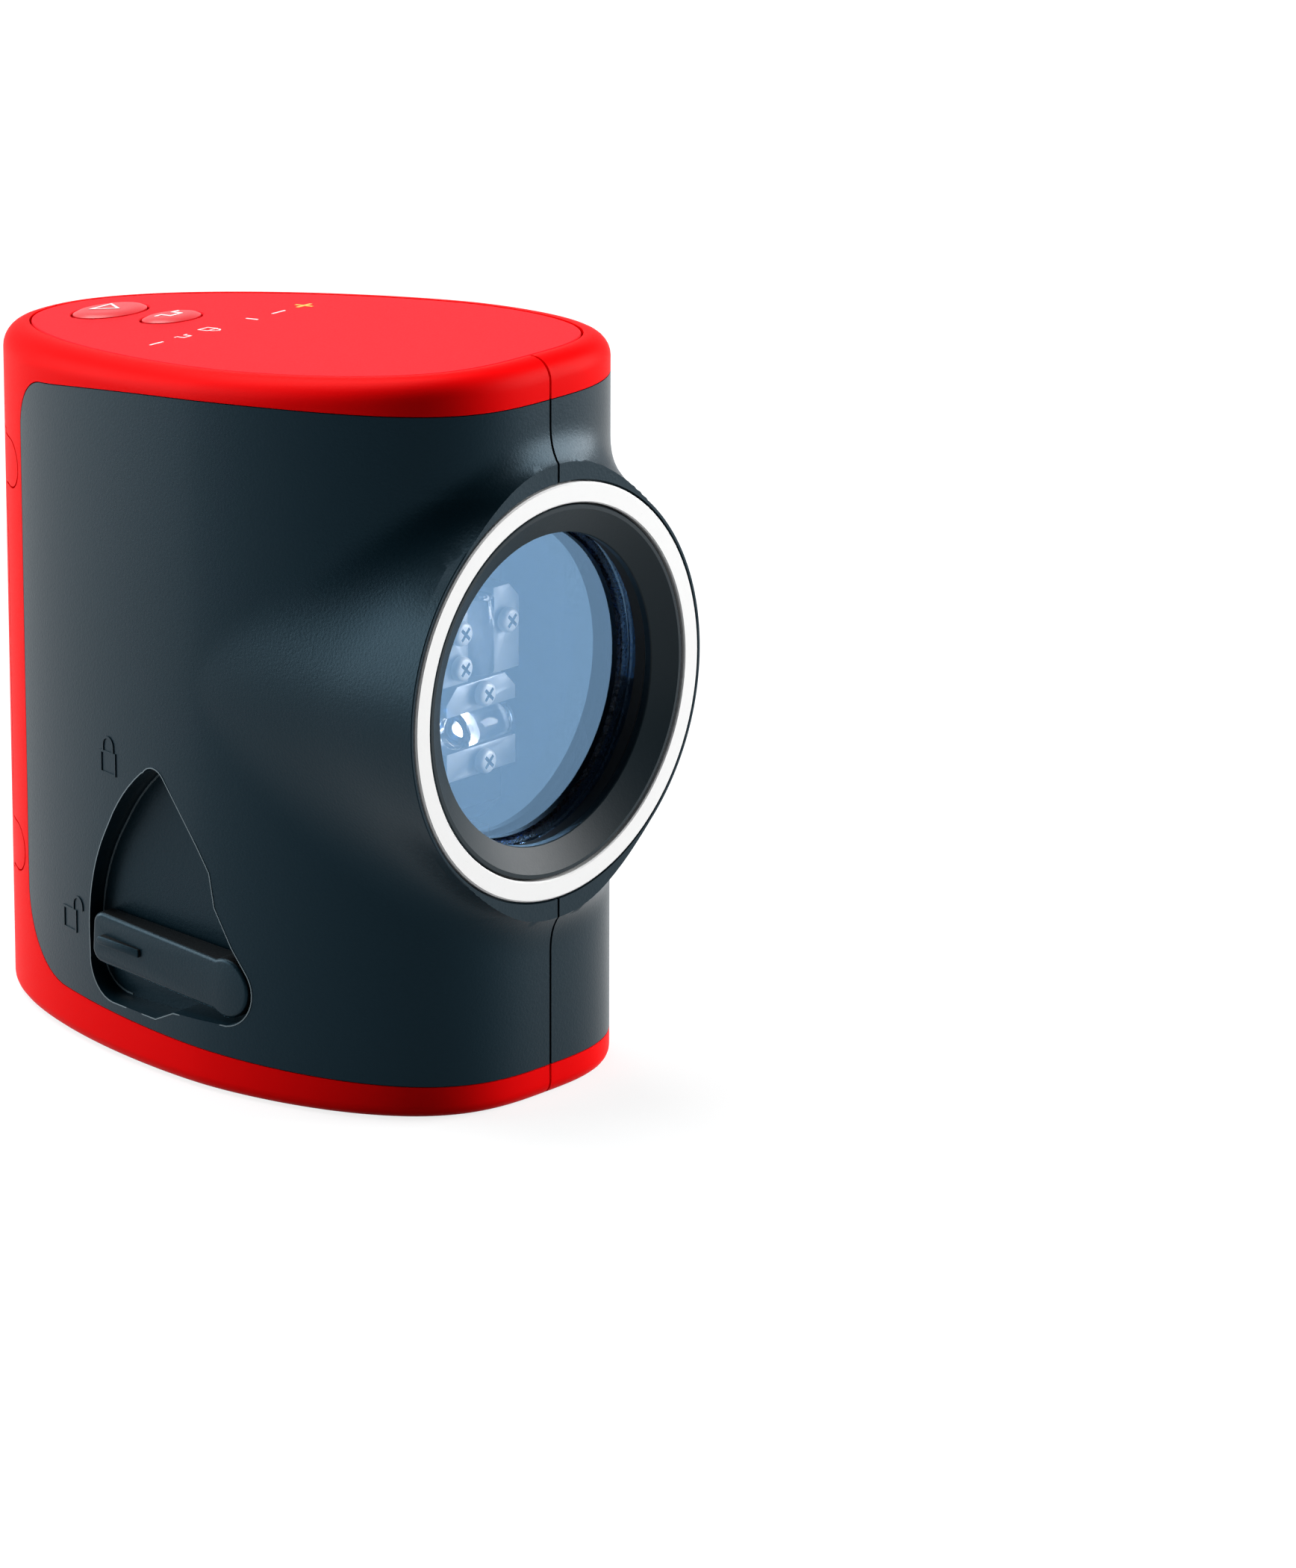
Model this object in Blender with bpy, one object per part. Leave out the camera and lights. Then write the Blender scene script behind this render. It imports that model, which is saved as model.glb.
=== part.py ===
"""Self-levelling cross-line laser level.

An egg-shaped housing of two halves, each moulded in red and grey, holds a round window at the front.
Behind the window hangs a pendulum with two line optics. A lever on the left side locks it, and three cells
sit at the rear. Metres, +Z up, lens towards -Y, lever on -X. The origin lies on the ground under the middle
of the whole object.
"""

import math

import bmesh
import bpy
from mathutils import Matrix, Vector

for thing in list(bpy.data.objects):
    bpy.data.objects.remove(thing, do_unlink=True)

# Housing outline, seen from above, and its sloping top
BODY_W = 0.0544
BODY_FRONT = 0.0353
BODY_REAR = 0.0535
FRONT_ACROSS = 3.03
FRONT_ALONG = 1.86
REAR_ACROSS = 2.2
REAR_ALONG = 1.66
TOP_H = 0.0933
TOP_SLOPE = 0.0805
TOP_ROUND = 0.0031
BASE_ROUND = 0.0019
WALL = 0.0022
FLOOR_T = 0.0024
GAP = 0.0003
RUN_FIT = 0.00008

# Grey side panels in the red frame, seen from the side
BAND_TOP = 0.0034
BAND_CROWN = 1.6
BAND_BASE = 0.00545
BAND_BASE_SLOPE = 0.034
PANEL_TAIL = 0.0145
PANEL_TOP_CORNER = 0.0075
PANEL_BASE_CORNER = 0.0110

# Lens collar and window
LENS_DROP = 0.0399
RING_R = 0.0267
RING_WIDTH = 0.0026
RING_T = 0.0012
RING_PROUD = 0.0002
COLLAR_RIM = 0.0002
COLLAR_LIP = 0.0003
COLLAR_LIP_T = 0.0016
COLLAR_PROUD = 0.00135
COLLAR_BLEND = 0.0070
BEZEL_DEPTH = 0.0105
BEZEL_LIP_R = 0.0200
BEZEL_CONE = 0.0019
BEZEL_TUBE = 0.0011
BEZEL_WALL = 0.0027
GASKET_LIP = 0.0013
GASKET_T = 0.0016
WINDOW_T = 0.0016
CLIP_T = 0.0008
CHAMBER_R = 0.0220
CHAMBER_DEPTH = 0.0180

# Keypad plate let into the top, with two oval keys
PLATE_INSET = 0.0037
PLATE_T = 0.0012
DECK_T = 0.0014
LEDGE = 0.0025
POWER_KEY_TAIL = 0.0131
POWER_KEY_RX = 0.0053
POWER_KEY_RY = 0.0043
KEY_PITCH = 0.0110
PULSE_KEY_RX = 0.0042
PULSE_KEY_RY = 0.0034
KEY_PROUD = 0.0005
KEY_FLANGE = 0.0008
KEY_TRAVEL = 0.0006
SWITCH_SIDE = 0.0045
SWITCH_T = 0.0012
BOARD_T = 0.0012
BOARD_PEG_R = 0.0014
BOARD_MARGIN = 0.0040

# Lock lever on the left side, its cam and the brake that it lifts
LEVER_Y = -0.0038
LEVER_Z = 0.0140
LEVER_LEN = 0.0250
LEVER_HUB_R = 0.0039
LEVER_HALF = 0.0034
LEVER_END_ROUND = 0.0018
LEVER_REST = math.radians(3.5)
LEVER_SWING = math.radians(57.0)
LEVER_HUB_SINK = 0.0013
LEVER_TIP_SINK = 0.0025
LEVER_EDGE = 0.0004
LEVER_CROWN = 0.93
LEVER_RIB_LEN = 0.0076
LEVER_RIB_W = 0.0012
LEVER_RIB_H = 0.0006
LEVER_RIB_TAPER = 0.7
RECESS_DEPTH = 0.0053
RECESS_MARGIN = 0.0008
RECESS_OPEN = 0.0022
RECESS_BULGE = 0.0014
RECESS_BULGE_TOP = 0.0175
RECESS_BULGE_LOW = 0.0140
RECESS_DROP = 0.0066
TUB_WALL = 0.0012
TUB_FLOOR = 0.0017
SHAFT_R = 0.0023
CAM_BASE = 0.0028
CAM_HALF = 0.0025
CAM_DWELL = math.radians(8.0)
LOCK_LIFT = 0.0028
LOCK_CLEAR = 0.0006
STEM_R = 0.0032
STEM_FOOT = 0.0020
STEM_TIP_R = 0.0004
PAD_R = 0.0045
PAD_T = 0.0012
BRIDGE_HALF = 0.0036
BRIDGE_T = 0.0020
GUIDE_T = 0.0020

# Gimbal and pendulum
PIVOT_Y = -0.0080
PIVOT_RISE = 0.0216
PIN_R = 0.0012
GIMBAL_HALF_W = 0.0075
GIMBAL_HALF_L = 0.0085
GIMBAL_HALF_H = 0.0024
GIMBAL_WALL = 0.0026
EAR_T = 0.0025
EAR_HALF_W = 0.0045
BRACKET_HALF_W = 0.0210
BRACKET_RISE = 0.0060
BRACKET_T = 0.0022
BRACKET_SCREW_X = 0.0192
SHELF_T = 0.0032
ARM_T = 0.0026
ARM_HALF = 0.0040
BLOCK_HALF_L = 0.0095
BLOCK_TOP = 0.0111
UPPER_RISE = 0.0051
LOWER_DROP = 0.0069
BARREL_R = 0.0042
BARREL_LEN = 0.0252
BARREL_END_R = 0.00294
CLAMP_T = 0.0059
UPPER_CLAMP_HALF_W = 0.0072
UPPER_CLAMP_HALF_H = 0.0056
LOWER_CLAMP_HALF_W = 0.0065
LOWER_CLAMP_HALF_H = 0.0061
ROD_R = 0.0022
ROD_SINK = 0.0007
ROD_HALF_LEN = 0.0050
DAMPER_T = 0.0015
DAMPER_HALF = 0.0090
MAGNET_R = 0.0035
MAGNET_T = 0.0030
MAGNET_BACK = 0.0050
MAGNET_CLEAR = 0.0017
POST_HALF = 0.0040
POST_TAPER = 0.1
LEVEL_RANGE = math.radians(4.0)

# Cells, tray, door and boards
CELL_R = 0.00725
CELL_LEN = 0.0505
CELL_SPREAD = 0.0079
CELL_ROW = 0.0140
TRAY_WALL = 0.0015
TRAY_MARGIN = 0.0012
TRAY_SIDE = 0.0008
TRAY_HEADROOM = 0.00177
CONTACT_T = 0.0005
DOOR_EDGE = 0.0075
DOOR_MARGIN = 0.00425
EAR_REACH = 0.0055
EAR_R = 0.0031
EAR_INSET = 0.0037
DRIVER_T = 0.0016
DRIVER_H = 0.0400

# Tripod socket, 1/4 inch thread, in the base
BUSH_FORWARD = 0.000875
BUSH_BORE_R = 0.0032
BUSH_R = 0.0050
BUSH_LEN = 0.0085
BLOCK_R = 0.0072
BLOCK_H = 0.0078

# Screws
SCREW_R = 0.0013
SCREW_HEAD_R = 0.0024
SCREW_HEAD_H = 0.0016
SCREW_BOSS_R = 0.0039
SCREW_SEAT = 0.0120
SCREW_REACH = 0.0080
SCREW_FRONT_Y = -0.0250
SCREW_REAR_TAIL = 0.0215
SCREW_TRAY_GAP = 0.0022
SCREW_TOP_DROP = 0.0095
SCREW_BASE_Z = 0.0120
SCREW_LOW_Z = 0.0152
CLAMP_SCREW_R = 0.0008
CLAMP_HEAD_R = 0.0016
CLAMP_HEAD_H = 0.0011
CLAMP_HEAD_FLAT = 0.00096
CLAMP_SCREW_LEN = 0.0040
CLAMP_SCREW_X = 0.0044

# Mesh fineness
COLUMNS = 52
COLLAR_ROWS = 14
ROUND = 20
SCREW_SIDES = 12
LOBE_SIDES = 48
RING_SIDES = 40
PRISM_SIDES = 40
OUTLINE_STEP = 0.01

# Places worked out from the sizes above. y is counted from the widest section of the body.
FRONT_FACE = BODY_FRONT + COLLAR_PROUD + RING_PROUD
Y0 = (FRONT_FACE - BODY_REAR) / 2
LENS_Z = TOP_H - LENS_DROP
COLLAR_R = RING_R + GAP + COLLAR_RIM
COLLAR_Y = Y0 - BODY_FRONT - COLLAR_PROUD
PIVOT = Vector((0, Y0 + PIVOT_Y, LENS_Z + PIVOT_RISE))
DECK_DEPTH = PLATE_T + GAP + DECK_T
FLOOR_Z = FLOOR_T + GAP
PANEL_REAR = BODY_REAR - PANEL_TAIL
POWER_KEY_Y = BODY_REAR - POWER_KEY_TAIL
PULSE_KEY_Y = POWER_KEY_Y - KEY_PITCH
SCREW_REAR_Y = BODY_REAR - SCREW_REAR_TAIL
RECESS_FLOOR = BODY_W / 2 - RECESS_DEPTH
LEVER_HUB_FACE = BODY_W / 2 - LEVER_HUB_SINK
LEVER_TIP_FACE = BODY_W / 2 - LEVER_TIP_SINK
FAR = 0.2

# The lock's train upwards from the lever's axis: cam, stem in its guide, brake pad, damper plate
STEM_TIP_Z = LEVER_Z + CAM_BASE + GAP
GUIDE_Z = LEVER_Z + CAM_BASE + LOCK_LIFT + 2 * GAP
STEM_TOP_Z = GUIDE_Z + GUIDE_T + 3 * GAP
BRAKE_Z = STEM_TOP_Z + GAP + PAD_T
BRAKE_TILT = (PAD_R + abs(PIVOT_Y - LEVER_Y)) * math.sin(LEVEL_RANGE)
BLOCK_BASE_Z = BRAKE_Z + LOCK_LIFT + LOCK_CLEAR + BRAKE_TILT + DAMPER_T + GAP

# The cells hang below the rear screw boss, and the door covers them
TRAY_TOP_Z = TOP_H - TOP_SLOPE * SCREW_REAR_Y - SCREW_TOP_DROP - SWITCH_T - SCREW_BOSS_R - TRAY_HEADROOM
CELL_TOP_Z = TRAY_TOP_Z - TRAY_WALL - CONTACT_T - 2 * GAP
CELL_BASE_Z = CELL_TOP_Z - CELL_LEN
DOOR_BASE_Z = CELL_BASE_Z - DOOR_MARGIN
DOOR_TOP_Z = CELL_TOP_Z + DOOR_MARGIN

# Colour, roughness and metallic value of each material
FINISHES = {
    "red": ((0.80, 0.012, 0.016), 0.42, 0.0),
    "grey": ((0.050, 0.072, 0.085), 0.50, 0.0),
    "black": ((0.012, 0.013, 0.014), 0.55, 0.0),
    "white": ((0.90, 0.90, 0.90), 0.35, 0.0),
    "rubber": ((0.015, 0.015, 0.016), 0.80, 0.0),
    "glass": ((0.35, 0.55, 0.75), 0.05, 0.0),
    "steel": ((0.55, 0.56, 0.58), 0.30, 1.0),
    "zinc": ((0.62, 0.63, 0.65), 0.40, 1.0),
    "brass": ((0.70, 0.52, 0.22), 0.30, 1.0),
    "copper": ((0.72, 0.36, 0.22), 0.35, 1.0),
    "board": ((0.02, 0.16, 0.06), 0.50, 0.0),
    "cell": ((0.10, 0.11, 0.12), 0.35, 0.2),
}


def material(finish):
    """The material of a finish, made on first use."""
    found = bpy.data.materials.get(finish)
    if found:
        return found
    colour, roughness, metallic = FINISHES[finish]
    made = bpy.data.materials.new(finish)
    made.use_nodes = True
    shader = made.node_tree.nodes["Principled BSDF"]
    shader.inputs["Base Color"].default_value = (*colour, 1.0)
    shader.inputs["Roughness"].default_value = roughness
    shader.inputs["Metallic"].default_value = metallic
    made.diffuse_color = (*colour, 1.0)
    return made


def solid(name, bm, finish="black"):
    """Turn a bmesh into a named object."""
    bmesh.ops.recalc_face_normals(bm, faces=bm.faces)
    mesh = bpy.data.meshes.new(name)
    bm.to_mesh(mesh)
    bm.free()
    obj = bpy.data.objects.new(name, mesh)
    bpy.context.scene.collection.objects.link(obj)
    mesh.materials.append(material(finish))
    return obj


def twin(obj, name, finish):
    """A second object with its own copy of the mesh."""
    other = bpy.data.objects.new(name, obj.data.copy())
    bpy.context.scene.collection.objects.link(other)
    other.data.materials.clear()
    other.data.materials.append(material(finish))
    return other


def combine(target, tool, operation="DIFFERENCE"):
    """Cut, join or intersect the target with a tool, which is used up."""
    step = target.modifiers.new("shape", "BOOLEAN")
    step.operation = operation
    step.solver = "EXACT"
    step.object = tool
    graph = bpy.context.evaluated_depsgraph_get()
    mesh = bpy.data.meshes.new_from_object(target.evaluated_get(graph))
    target.modifiers.clear()
    target.data = mesh
    bpy.data.objects.remove(tool)
    return target


def place(axis, a, b, c):
    """The point at c along an axis and at a, b on the other two, in their own order."""
    return {"X": (c, a, b), "Y": (a, c, b), "Z": (a, b, c)}[axis]


def loft(rings):
    """A closed skin over rings of as many points each, with a flat face at both ends."""
    bm = bmesh.new()
    rows = [[bm.verts.new(point) for point in ring] for ring in rings]
    for low, high in zip(rows, rows[1:]):
        for i in range(len(low)):
            j = (i + 1) % len(low)
            bm.faces.new((low[i], low[j], high[j], high[i]))
    bm.faces.new(rows[0])
    bm.faces.new(rows[-1])
    return bm


def prism(outline, axis, low, high):
    """An outline on the plane across an axis, extruded from low to high."""
    return loft([[place(axis, a, b, c) for a, b in outline] for c in (low, high)])


def box(low, high):
    """A block between two corners."""
    outline = [(low[0], low[1]), (high[0], low[1]), (high[0], high[1]), (low[0], high[1])]
    return prism(outline, "Z", low[2], high[2])


def circle(radius, sides=ROUND, centre=(0, 0)):
    """Points round a circle, with a flat to each side so that rods and holes line up."""
    turns = [2 * math.pi * (i + 0.5) / sides for i in range(sides)]
    return [(centre[0] + radius * math.cos(t), centre[1] + radius * math.sin(t)) for t in turns]


def oval(rx, ry, centre_y, sides=ROUND):
    """Points round an upright ellipse on the body's middle line."""
    turns = [2 * math.pi * i / sides for i in range(sides)]
    return [(rx * math.cos(t), centre_y + ry * math.sin(t)) for t in turns]


def rod(axis, centre, radius, low, high, sides=ROUND):
    """A cylinder along an axis."""
    return prism(circle(radius, sides, centre), axis, low, high)


def turned(axis, centre, profile, sides=RING_SIDES):
    """A profile of (radius, distance along the axis) turned round the axis, closed at its two ends."""
    return loft([[place(axis, a, b, c) for a, b in circle(r, sides, centre)] for r, c in profile])


def ringed(axis, centre, profile, sides=RING_SIDES):
    """A closed profile turned round the axis, which it doesn't touch."""
    bm = bmesh.new()
    rows = [[bm.verts.new(place(axis, a, b, c)) for a, b in circle(r, sides, centre)] for r, c in profile]
    for low, high in zip(rows, rows[1:] + rows[:1]):
        for i in range(sides):
            j = (i + 1) % sides
            bm.faces.new((low[i], low[j], high[j], high[i]))
    return bm


def screw(axis, centre, tip, seat):
    """A screw from its tip to the underside of its head, and the head on it."""
    profile = [(SCREW_R, tip), (SCREW_R, seat), (SCREW_HEAD_R, seat), (SCREW_HEAD_R, seat + SCREW_HEAD_H)]
    return turned(axis, centre, profile, SCREW_SIDES)


def arc(centre, radius, start, end, steps):
    """Points along an arc, angles in radians."""
    turns = [start + (end - start) * i / steps for i in range(steps + 1)]
    return [(centre[0] + radius * math.cos(t), centre[1] + radius * math.sin(t)) for t in turns]


def set_origin(obj, point):
    """Move an object's origin to a point without moving its shape."""
    obj.data.transform(Matrix.Translation(-Vector(point)))
    obj.location = point
    return obj


# Body surface


def top_z(y):
    """Height of the sloping top plane."""
    return TOP_H - TOP_SLOPE * (y - Y0)


def outline_point(turn):
    """A point of the outline from above: x, and distance behind the widest section. Turn 0 is the nose."""
    s, c = math.sin(turn), math.cos(turn)
    if c > 0:
        reach, across, along = -BODY_FRONT, FRONT_ACROSS, FRONT_ALONG
    else:
        reach, across, along = BODY_REAR, REAR_ACROSS, REAR_ALONG
    x = math.copysign(abs(s) ** (2 / across) * BODY_W / 2, s)
    return x, abs(c) ** (2 / along) * reach


def footprint(inset=0.0, sides=PRISM_SIDES):
    """The body's outline from above, moved inwards by a distance."""
    turns = [2 * math.pi * i / sides for i in range(sides)]
    points = []
    for turn in turns:
        x, v = outline_point(turn)
        ahead = Vector(outline_point(turn + OUTLINE_STEP)) - Vector(outline_point(turn - OUTLINE_STEP))
        ahead.normalize()
        points.append((x - ahead.y * inset, Y0 + v + ahead.x * inset))
    return points


def half_width(y, inset=0.0):
    """Half the body's width at a place along it."""
    v = y - Y0
    if v < 0:
        reach, across, along = BODY_FRONT - inset, FRONT_ACROSS, FRONT_ALONG
    else:
        reach, across, along = BODY_REAR - inset, REAR_ACROSS, REAR_ALONG
    left = max(0.0, 1 - (abs(v) / reach) ** along)
    return (BODY_W / 2 - inset) * left ** (1 / across)


def skin_point(turn, z):
    """A point of the body's side at a height, with the lens collar blended in by a hollow fillet."""
    x, v = outline_point(turn)
    body_r = math.hypot(x, v)
    away = Vector((x / body_r, v / body_r))
    if v > -GAP:
        return x, Y0 + v

    def outside(r):
        side, ahead = r * away.x, -r * away.y
        from_body = r - body_r
        from_collar = max(math.hypot(side, z - LENS_Z) - COLLAR_R, ahead - BODY_FRONT - 2 * COLLAR_PROUD)
        blend = max(COLLAR_BLEND * min(1.0, ahead / BODY_FRONT), GAP)
        near = max(blend - abs(from_body - from_collar), 0.0) / blend
        return min(from_body, from_collar) - near * near * blend / 4

    low, high = body_r, 4 * FRONT_FACE
    if outside(low) > 0:
        return x, Y0 + v
    for _ in range(40):
        middle = (low + high) / 2
        low, high = (middle, high) if outside(middle) < 0 else (low, middle)
    return low * away.x, Y0 + low * away.y


def body_blank():
    """The outside of the whole housing as one solid, with a flat face for the lens ring."""
    turns = [2 * math.pi * i / COLUMNS for i in range(COLUMNS)]
    quarter = [0.0, math.pi / 4, math.pi / 2]
    rings = []
    for step in quarter:
        flat = footprint(BASE_ROUND * (1 - math.sin(step)), COLUMNS)
        rings.append([(x, y, BASE_ROUND * (1 - math.cos(step))) for x, y in flat])
    low, high = LENS_Z - COLLAR_R, LENS_Z + COLLAR_R
    rise = [math.pi * i / COLLAR_ROWS - math.pi / 2 for i in range(COLLAR_ROWS + 1)]
    levels = [low - COLLAR_BLEND, low - COLLAR_BLEND / 2]
    levels += [LENS_Z + COLLAR_R * math.sin(angle) for angle in rise]
    for z in levels:
        rings.append([(*skin_point(turn, z), z) for turn in turns])
    spread = top_z(Y0 - BODY_FRONT) - TOP_ROUND - high
    for share in (COLLAR_BLEND / 2 / spread, COLLAR_BLEND / spread):
        ring = []
        for turn in turns:
            z = high + share * (top_z(Y0 + outline_point(turn)[1]) - TOP_ROUND - high)
            ring.append((*skin_point(turn, z), z))
        rings.append(ring)
    for step in reversed(quarter):
        flat = footprint(TOP_ROUND * (1 - math.sin(step)), COLUMNS)
        rings.append([(x, y, top_z(y) - TOP_ROUND * (1 - math.cos(step))) for x, y in flat])
    skin = loft(rings)
    bmesh.ops.triangulate(skin, faces=skin.faces)
    blank = solid("body_blank", skin)
    combine(blank, solid("front", box((-FAR, -FAR, -FAR), (FAR, COLLAR_Y + GAP, FAR))))
    lip_r = COLLAR_R + COLLAR_LIP
    lip = [(lip_r, COLLAR_Y), (lip_r, COLLAR_Y + COLLAR_LIP_T), (COLLAR_R - GAP, COLLAR_Y + 2 * COLLAR_LIP_T)]
    combine(blank, solid("lip", turned("Y", (0, LENS_Z), lip)), "UNION")
    bm = bmesh.new()
    bm.from_mesh(blank.data)
    bmesh.ops.dissolve_limit(bm, angle_limit=math.radians(0.02), verts=bm.verts, edges=bm.edges)
    bm.to_mesh(blank.data)
    bm.free()
    return blank


def slab(outline, depth_top, depth_base):
    """An outline from above, between two depths below the sloping top."""
    return loft([[(x, y, top_z(y) - depth) for x, y in outline] for depth in (depth_base, depth_top)])


def cell_row():
    """Place of the front pair of cells along the body, as far back as the width and the tail let them."""
    half_tray = CELL_SPREAD + CELL_R + GAP + TRAY_WALL + TRAY_SIDE
    share = half_tray / (BODY_W / 2 - WALL)
    by_width = (BODY_REAR - WALL) * (1 - share ** REAR_ACROSS) ** (1 / REAR_ALONG) - CELL_R
    by_tail = BODY_REAR - WALL - TRAY_WALL - 3 * GAP - CELL_R - CELL_ROW
    return Y0 + min(by_width, by_tail)


def tray_front():
    """Inner front face of the battery tray."""
    return cell_row() - CELL_R - GAP


def bush_y():
    """Place of the tripod socket, between the lock's bridge and the tray."""
    bridge_back = Y0 + LEVER_Y + BRIDGE_HALF
    return (bridge_back + tray_front() - TRAY_WALL) / 2 - BUSH_FORWARD


def screw_places():
    """Middle lines of the housing screws, as y and z."""
    front, rear = Y0 + SCREW_FRONT_Y, Y0 + SCREW_REAR_Y
    low = tray_front() - TRAY_WALL - SCREW_TRAY_GAP - SCREW_BOSS_R
    return {
        "housing_screw_front_top": (front, top_z(front) - SCREW_TOP_DROP),
        "housing_screw_front_base": (front, SCREW_BASE_Z),
        "housing_screw_rear_top": (rear, top_z(rear) - SCREW_TOP_DROP - SWITCH_T),
        "housing_screw_rear_base": (low, SCREW_LOW_Z),
    }


def recess_outline(grow=0.0):
    """The lever's recess seen from the side: an opening fan round the pivot with a drop below the tip."""
    pivot = (Y0 + LEVER_Y, LEVER_Z)
    hub = LEVER_HUB_R + RECESS_MARGIN + grow
    top = LEVER_REST + LEVER_SWING
    steps = 10
    points = []
    for i in range(steps + 1):
        angle = -LEVER_REST + (top + LEVER_REST) * i / steps
        radius = LEVER_LEN + RECESS_MARGIN + grow + RECESS_OPEN * max(angle, 0) / top
        points.append((pivot[0] + radius * math.cos(angle), pivot[1] + radius * math.sin(angle)))
    across = LEVER_HALF + RECESS_MARGIN + grow
    bulge = across + RECESS_BULGE
    edge = [(LEVER_LEN + RECESS_MARGIN + RECESS_OPEN, across), (RECESS_BULGE_TOP, bulge)]
    edge += [(RECESS_BULGE_LOW, bulge), (RECESS_BULGE_LOW - 3 * RECESS_BULGE, across)]
    c, s = math.cos(top), math.sin(top)
    points += [(pivot[0] + a * c - b * s, pivot[1] + a * s + b * c) for a, b in edge]
    points += arc(pivot, hub, top + math.pi / 2, top + math.pi * 1.2, 6)
    points.append((pivot[0] + LEVER_HUB_R, pivot[1] - hub + LEVER_REST * LEVER_HUB_R))
    points.append((pivot[0] + LEVER_LEN / 2, pivot[1] - RECESS_DROP - grow))
    end = pivot[0] + LEVER_LEN + RECESS_MARGIN + grow
    corner = RECESS_DROP - LEVER_HALF + LEVER_END_ROUND
    points += arc((end - corner, pivot[1] - RECESS_DROP - grow + corner), corner, -math.pi / 2, 0, 4)[:-1]
    return points


def body_core():
    """The hollow inside the housing, less the bosses, shelves and the lever's tub that stand in it."""
    hollow = footprint(WALL)
    rings = [[(x, y, FLOOR_T) for x, y in hollow], [(x, y, top_z(y) - DECK_DEPTH) for x, y in hollow]]
    core = solid("core", loft(rings))
    for y, z in screw_places().values():
        combine(core, solid("boss", rod("X", (y, z), SCREW_BOSS_R, -FAR, FAR)))
    shelf_top = PIVOT.z + BRACKET_RISE - GAP
    shelf_in = BRACKET_SCREW_X - SCREW_R - 2 * GAP - SHELF_T / 2
    for side in (-1, 1):
        low, high = sorted((side * shelf_in, side * FAR))
        shelf = box((low, PIVOT.y - ARM_HALF, shelf_top - SHELF_T), (high, PIVOT.y + ARM_HALF, shelf_top))
        combine(core, solid("shelf", shelf))
    tub = prism(recess_outline(TUB_WALL), "X", -FAR, -RECESS_FLOOR + TUB_FLOOR)
    return combine(core, solid("tub", tub))


def panel_prism(grow):
    """The grey panels' outline from the side, run through the body."""
    rear = Y0 + PANEL_REAR + grow

    def base(y):
        return BAND_BASE + BAND_BASE_SLOPE * (y - Y0) - grow

    def crest(y):
        return top_z(y) - BAND_TOP - BAND_CROWN * (y - Y0) ** 2 + grow

    low_round, top_round = PANEL_BASE_CORNER, PANEL_TOP_CORNER
    outline = [(-FAR, base(Y0 - BODY_FRONT)), (Y0 - BODY_FRONT, base(Y0 - BODY_FRONT))]
    outline += arc((rear - low_round, base(rear - low_round) + low_round), low_round, -math.pi / 2, 0, 6)
    top_mid = rear - top_round
    outline += arc((top_mid, crest(top_mid) - top_round), top_round, 0, math.pi / 2, 5)
    steps = 8
    for i in range(1, steps + 1):
        y = top_mid + (Y0 - BODY_FRONT - top_mid) * i / steps
        outline.append((y, crest(y)))
    outline.append((-FAR, crest(Y0 - BODY_FRONT)))
    return solid("panel_cutter", prism(outline, "X", -FAR, FAR))


def door_prism(grow):
    """The battery door's outline from the side, with a round ear near its top and bottom edges."""
    edge = Y0 + BODY_REAR - DOOR_EDGE - grow
    low, high = DOOR_BASE_Z - grow, DOOR_TOP_Z + grow
    ears = [DOOR_BASE_Z + EAR_INSET, DOOR_TOP_Z - EAR_INSET]
    tip = Y0 + BODY_REAR - DOOR_EDGE - EAR_REACH + EAR_R
    outline = [(FAR, low), (edge, low)]
    for z in ears:
        outline.append((edge, z - EAR_R - grow))
        outline += arc((tip, z), EAR_R + grow, -math.pi / 2, -math.pi * 1.5, 8)
        outline.append((edge, z + EAR_R + grow))
    outline += [(edge, high), (FAR, high)]
    return solid("door_cutter", prism(outline, "X", -FAR, FAR))


def half(whole, name, side, finish):
    """The left (-1) or right (+1) half of a piece of the housing."""
    low, high = sorted((side * GAP / 2, -side * FAR))
    away = solid("other_half", box((low, -FAR, -FAR), (high, FAR, FAR)))
    return combine(twin(whole, name, finish), away)


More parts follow.
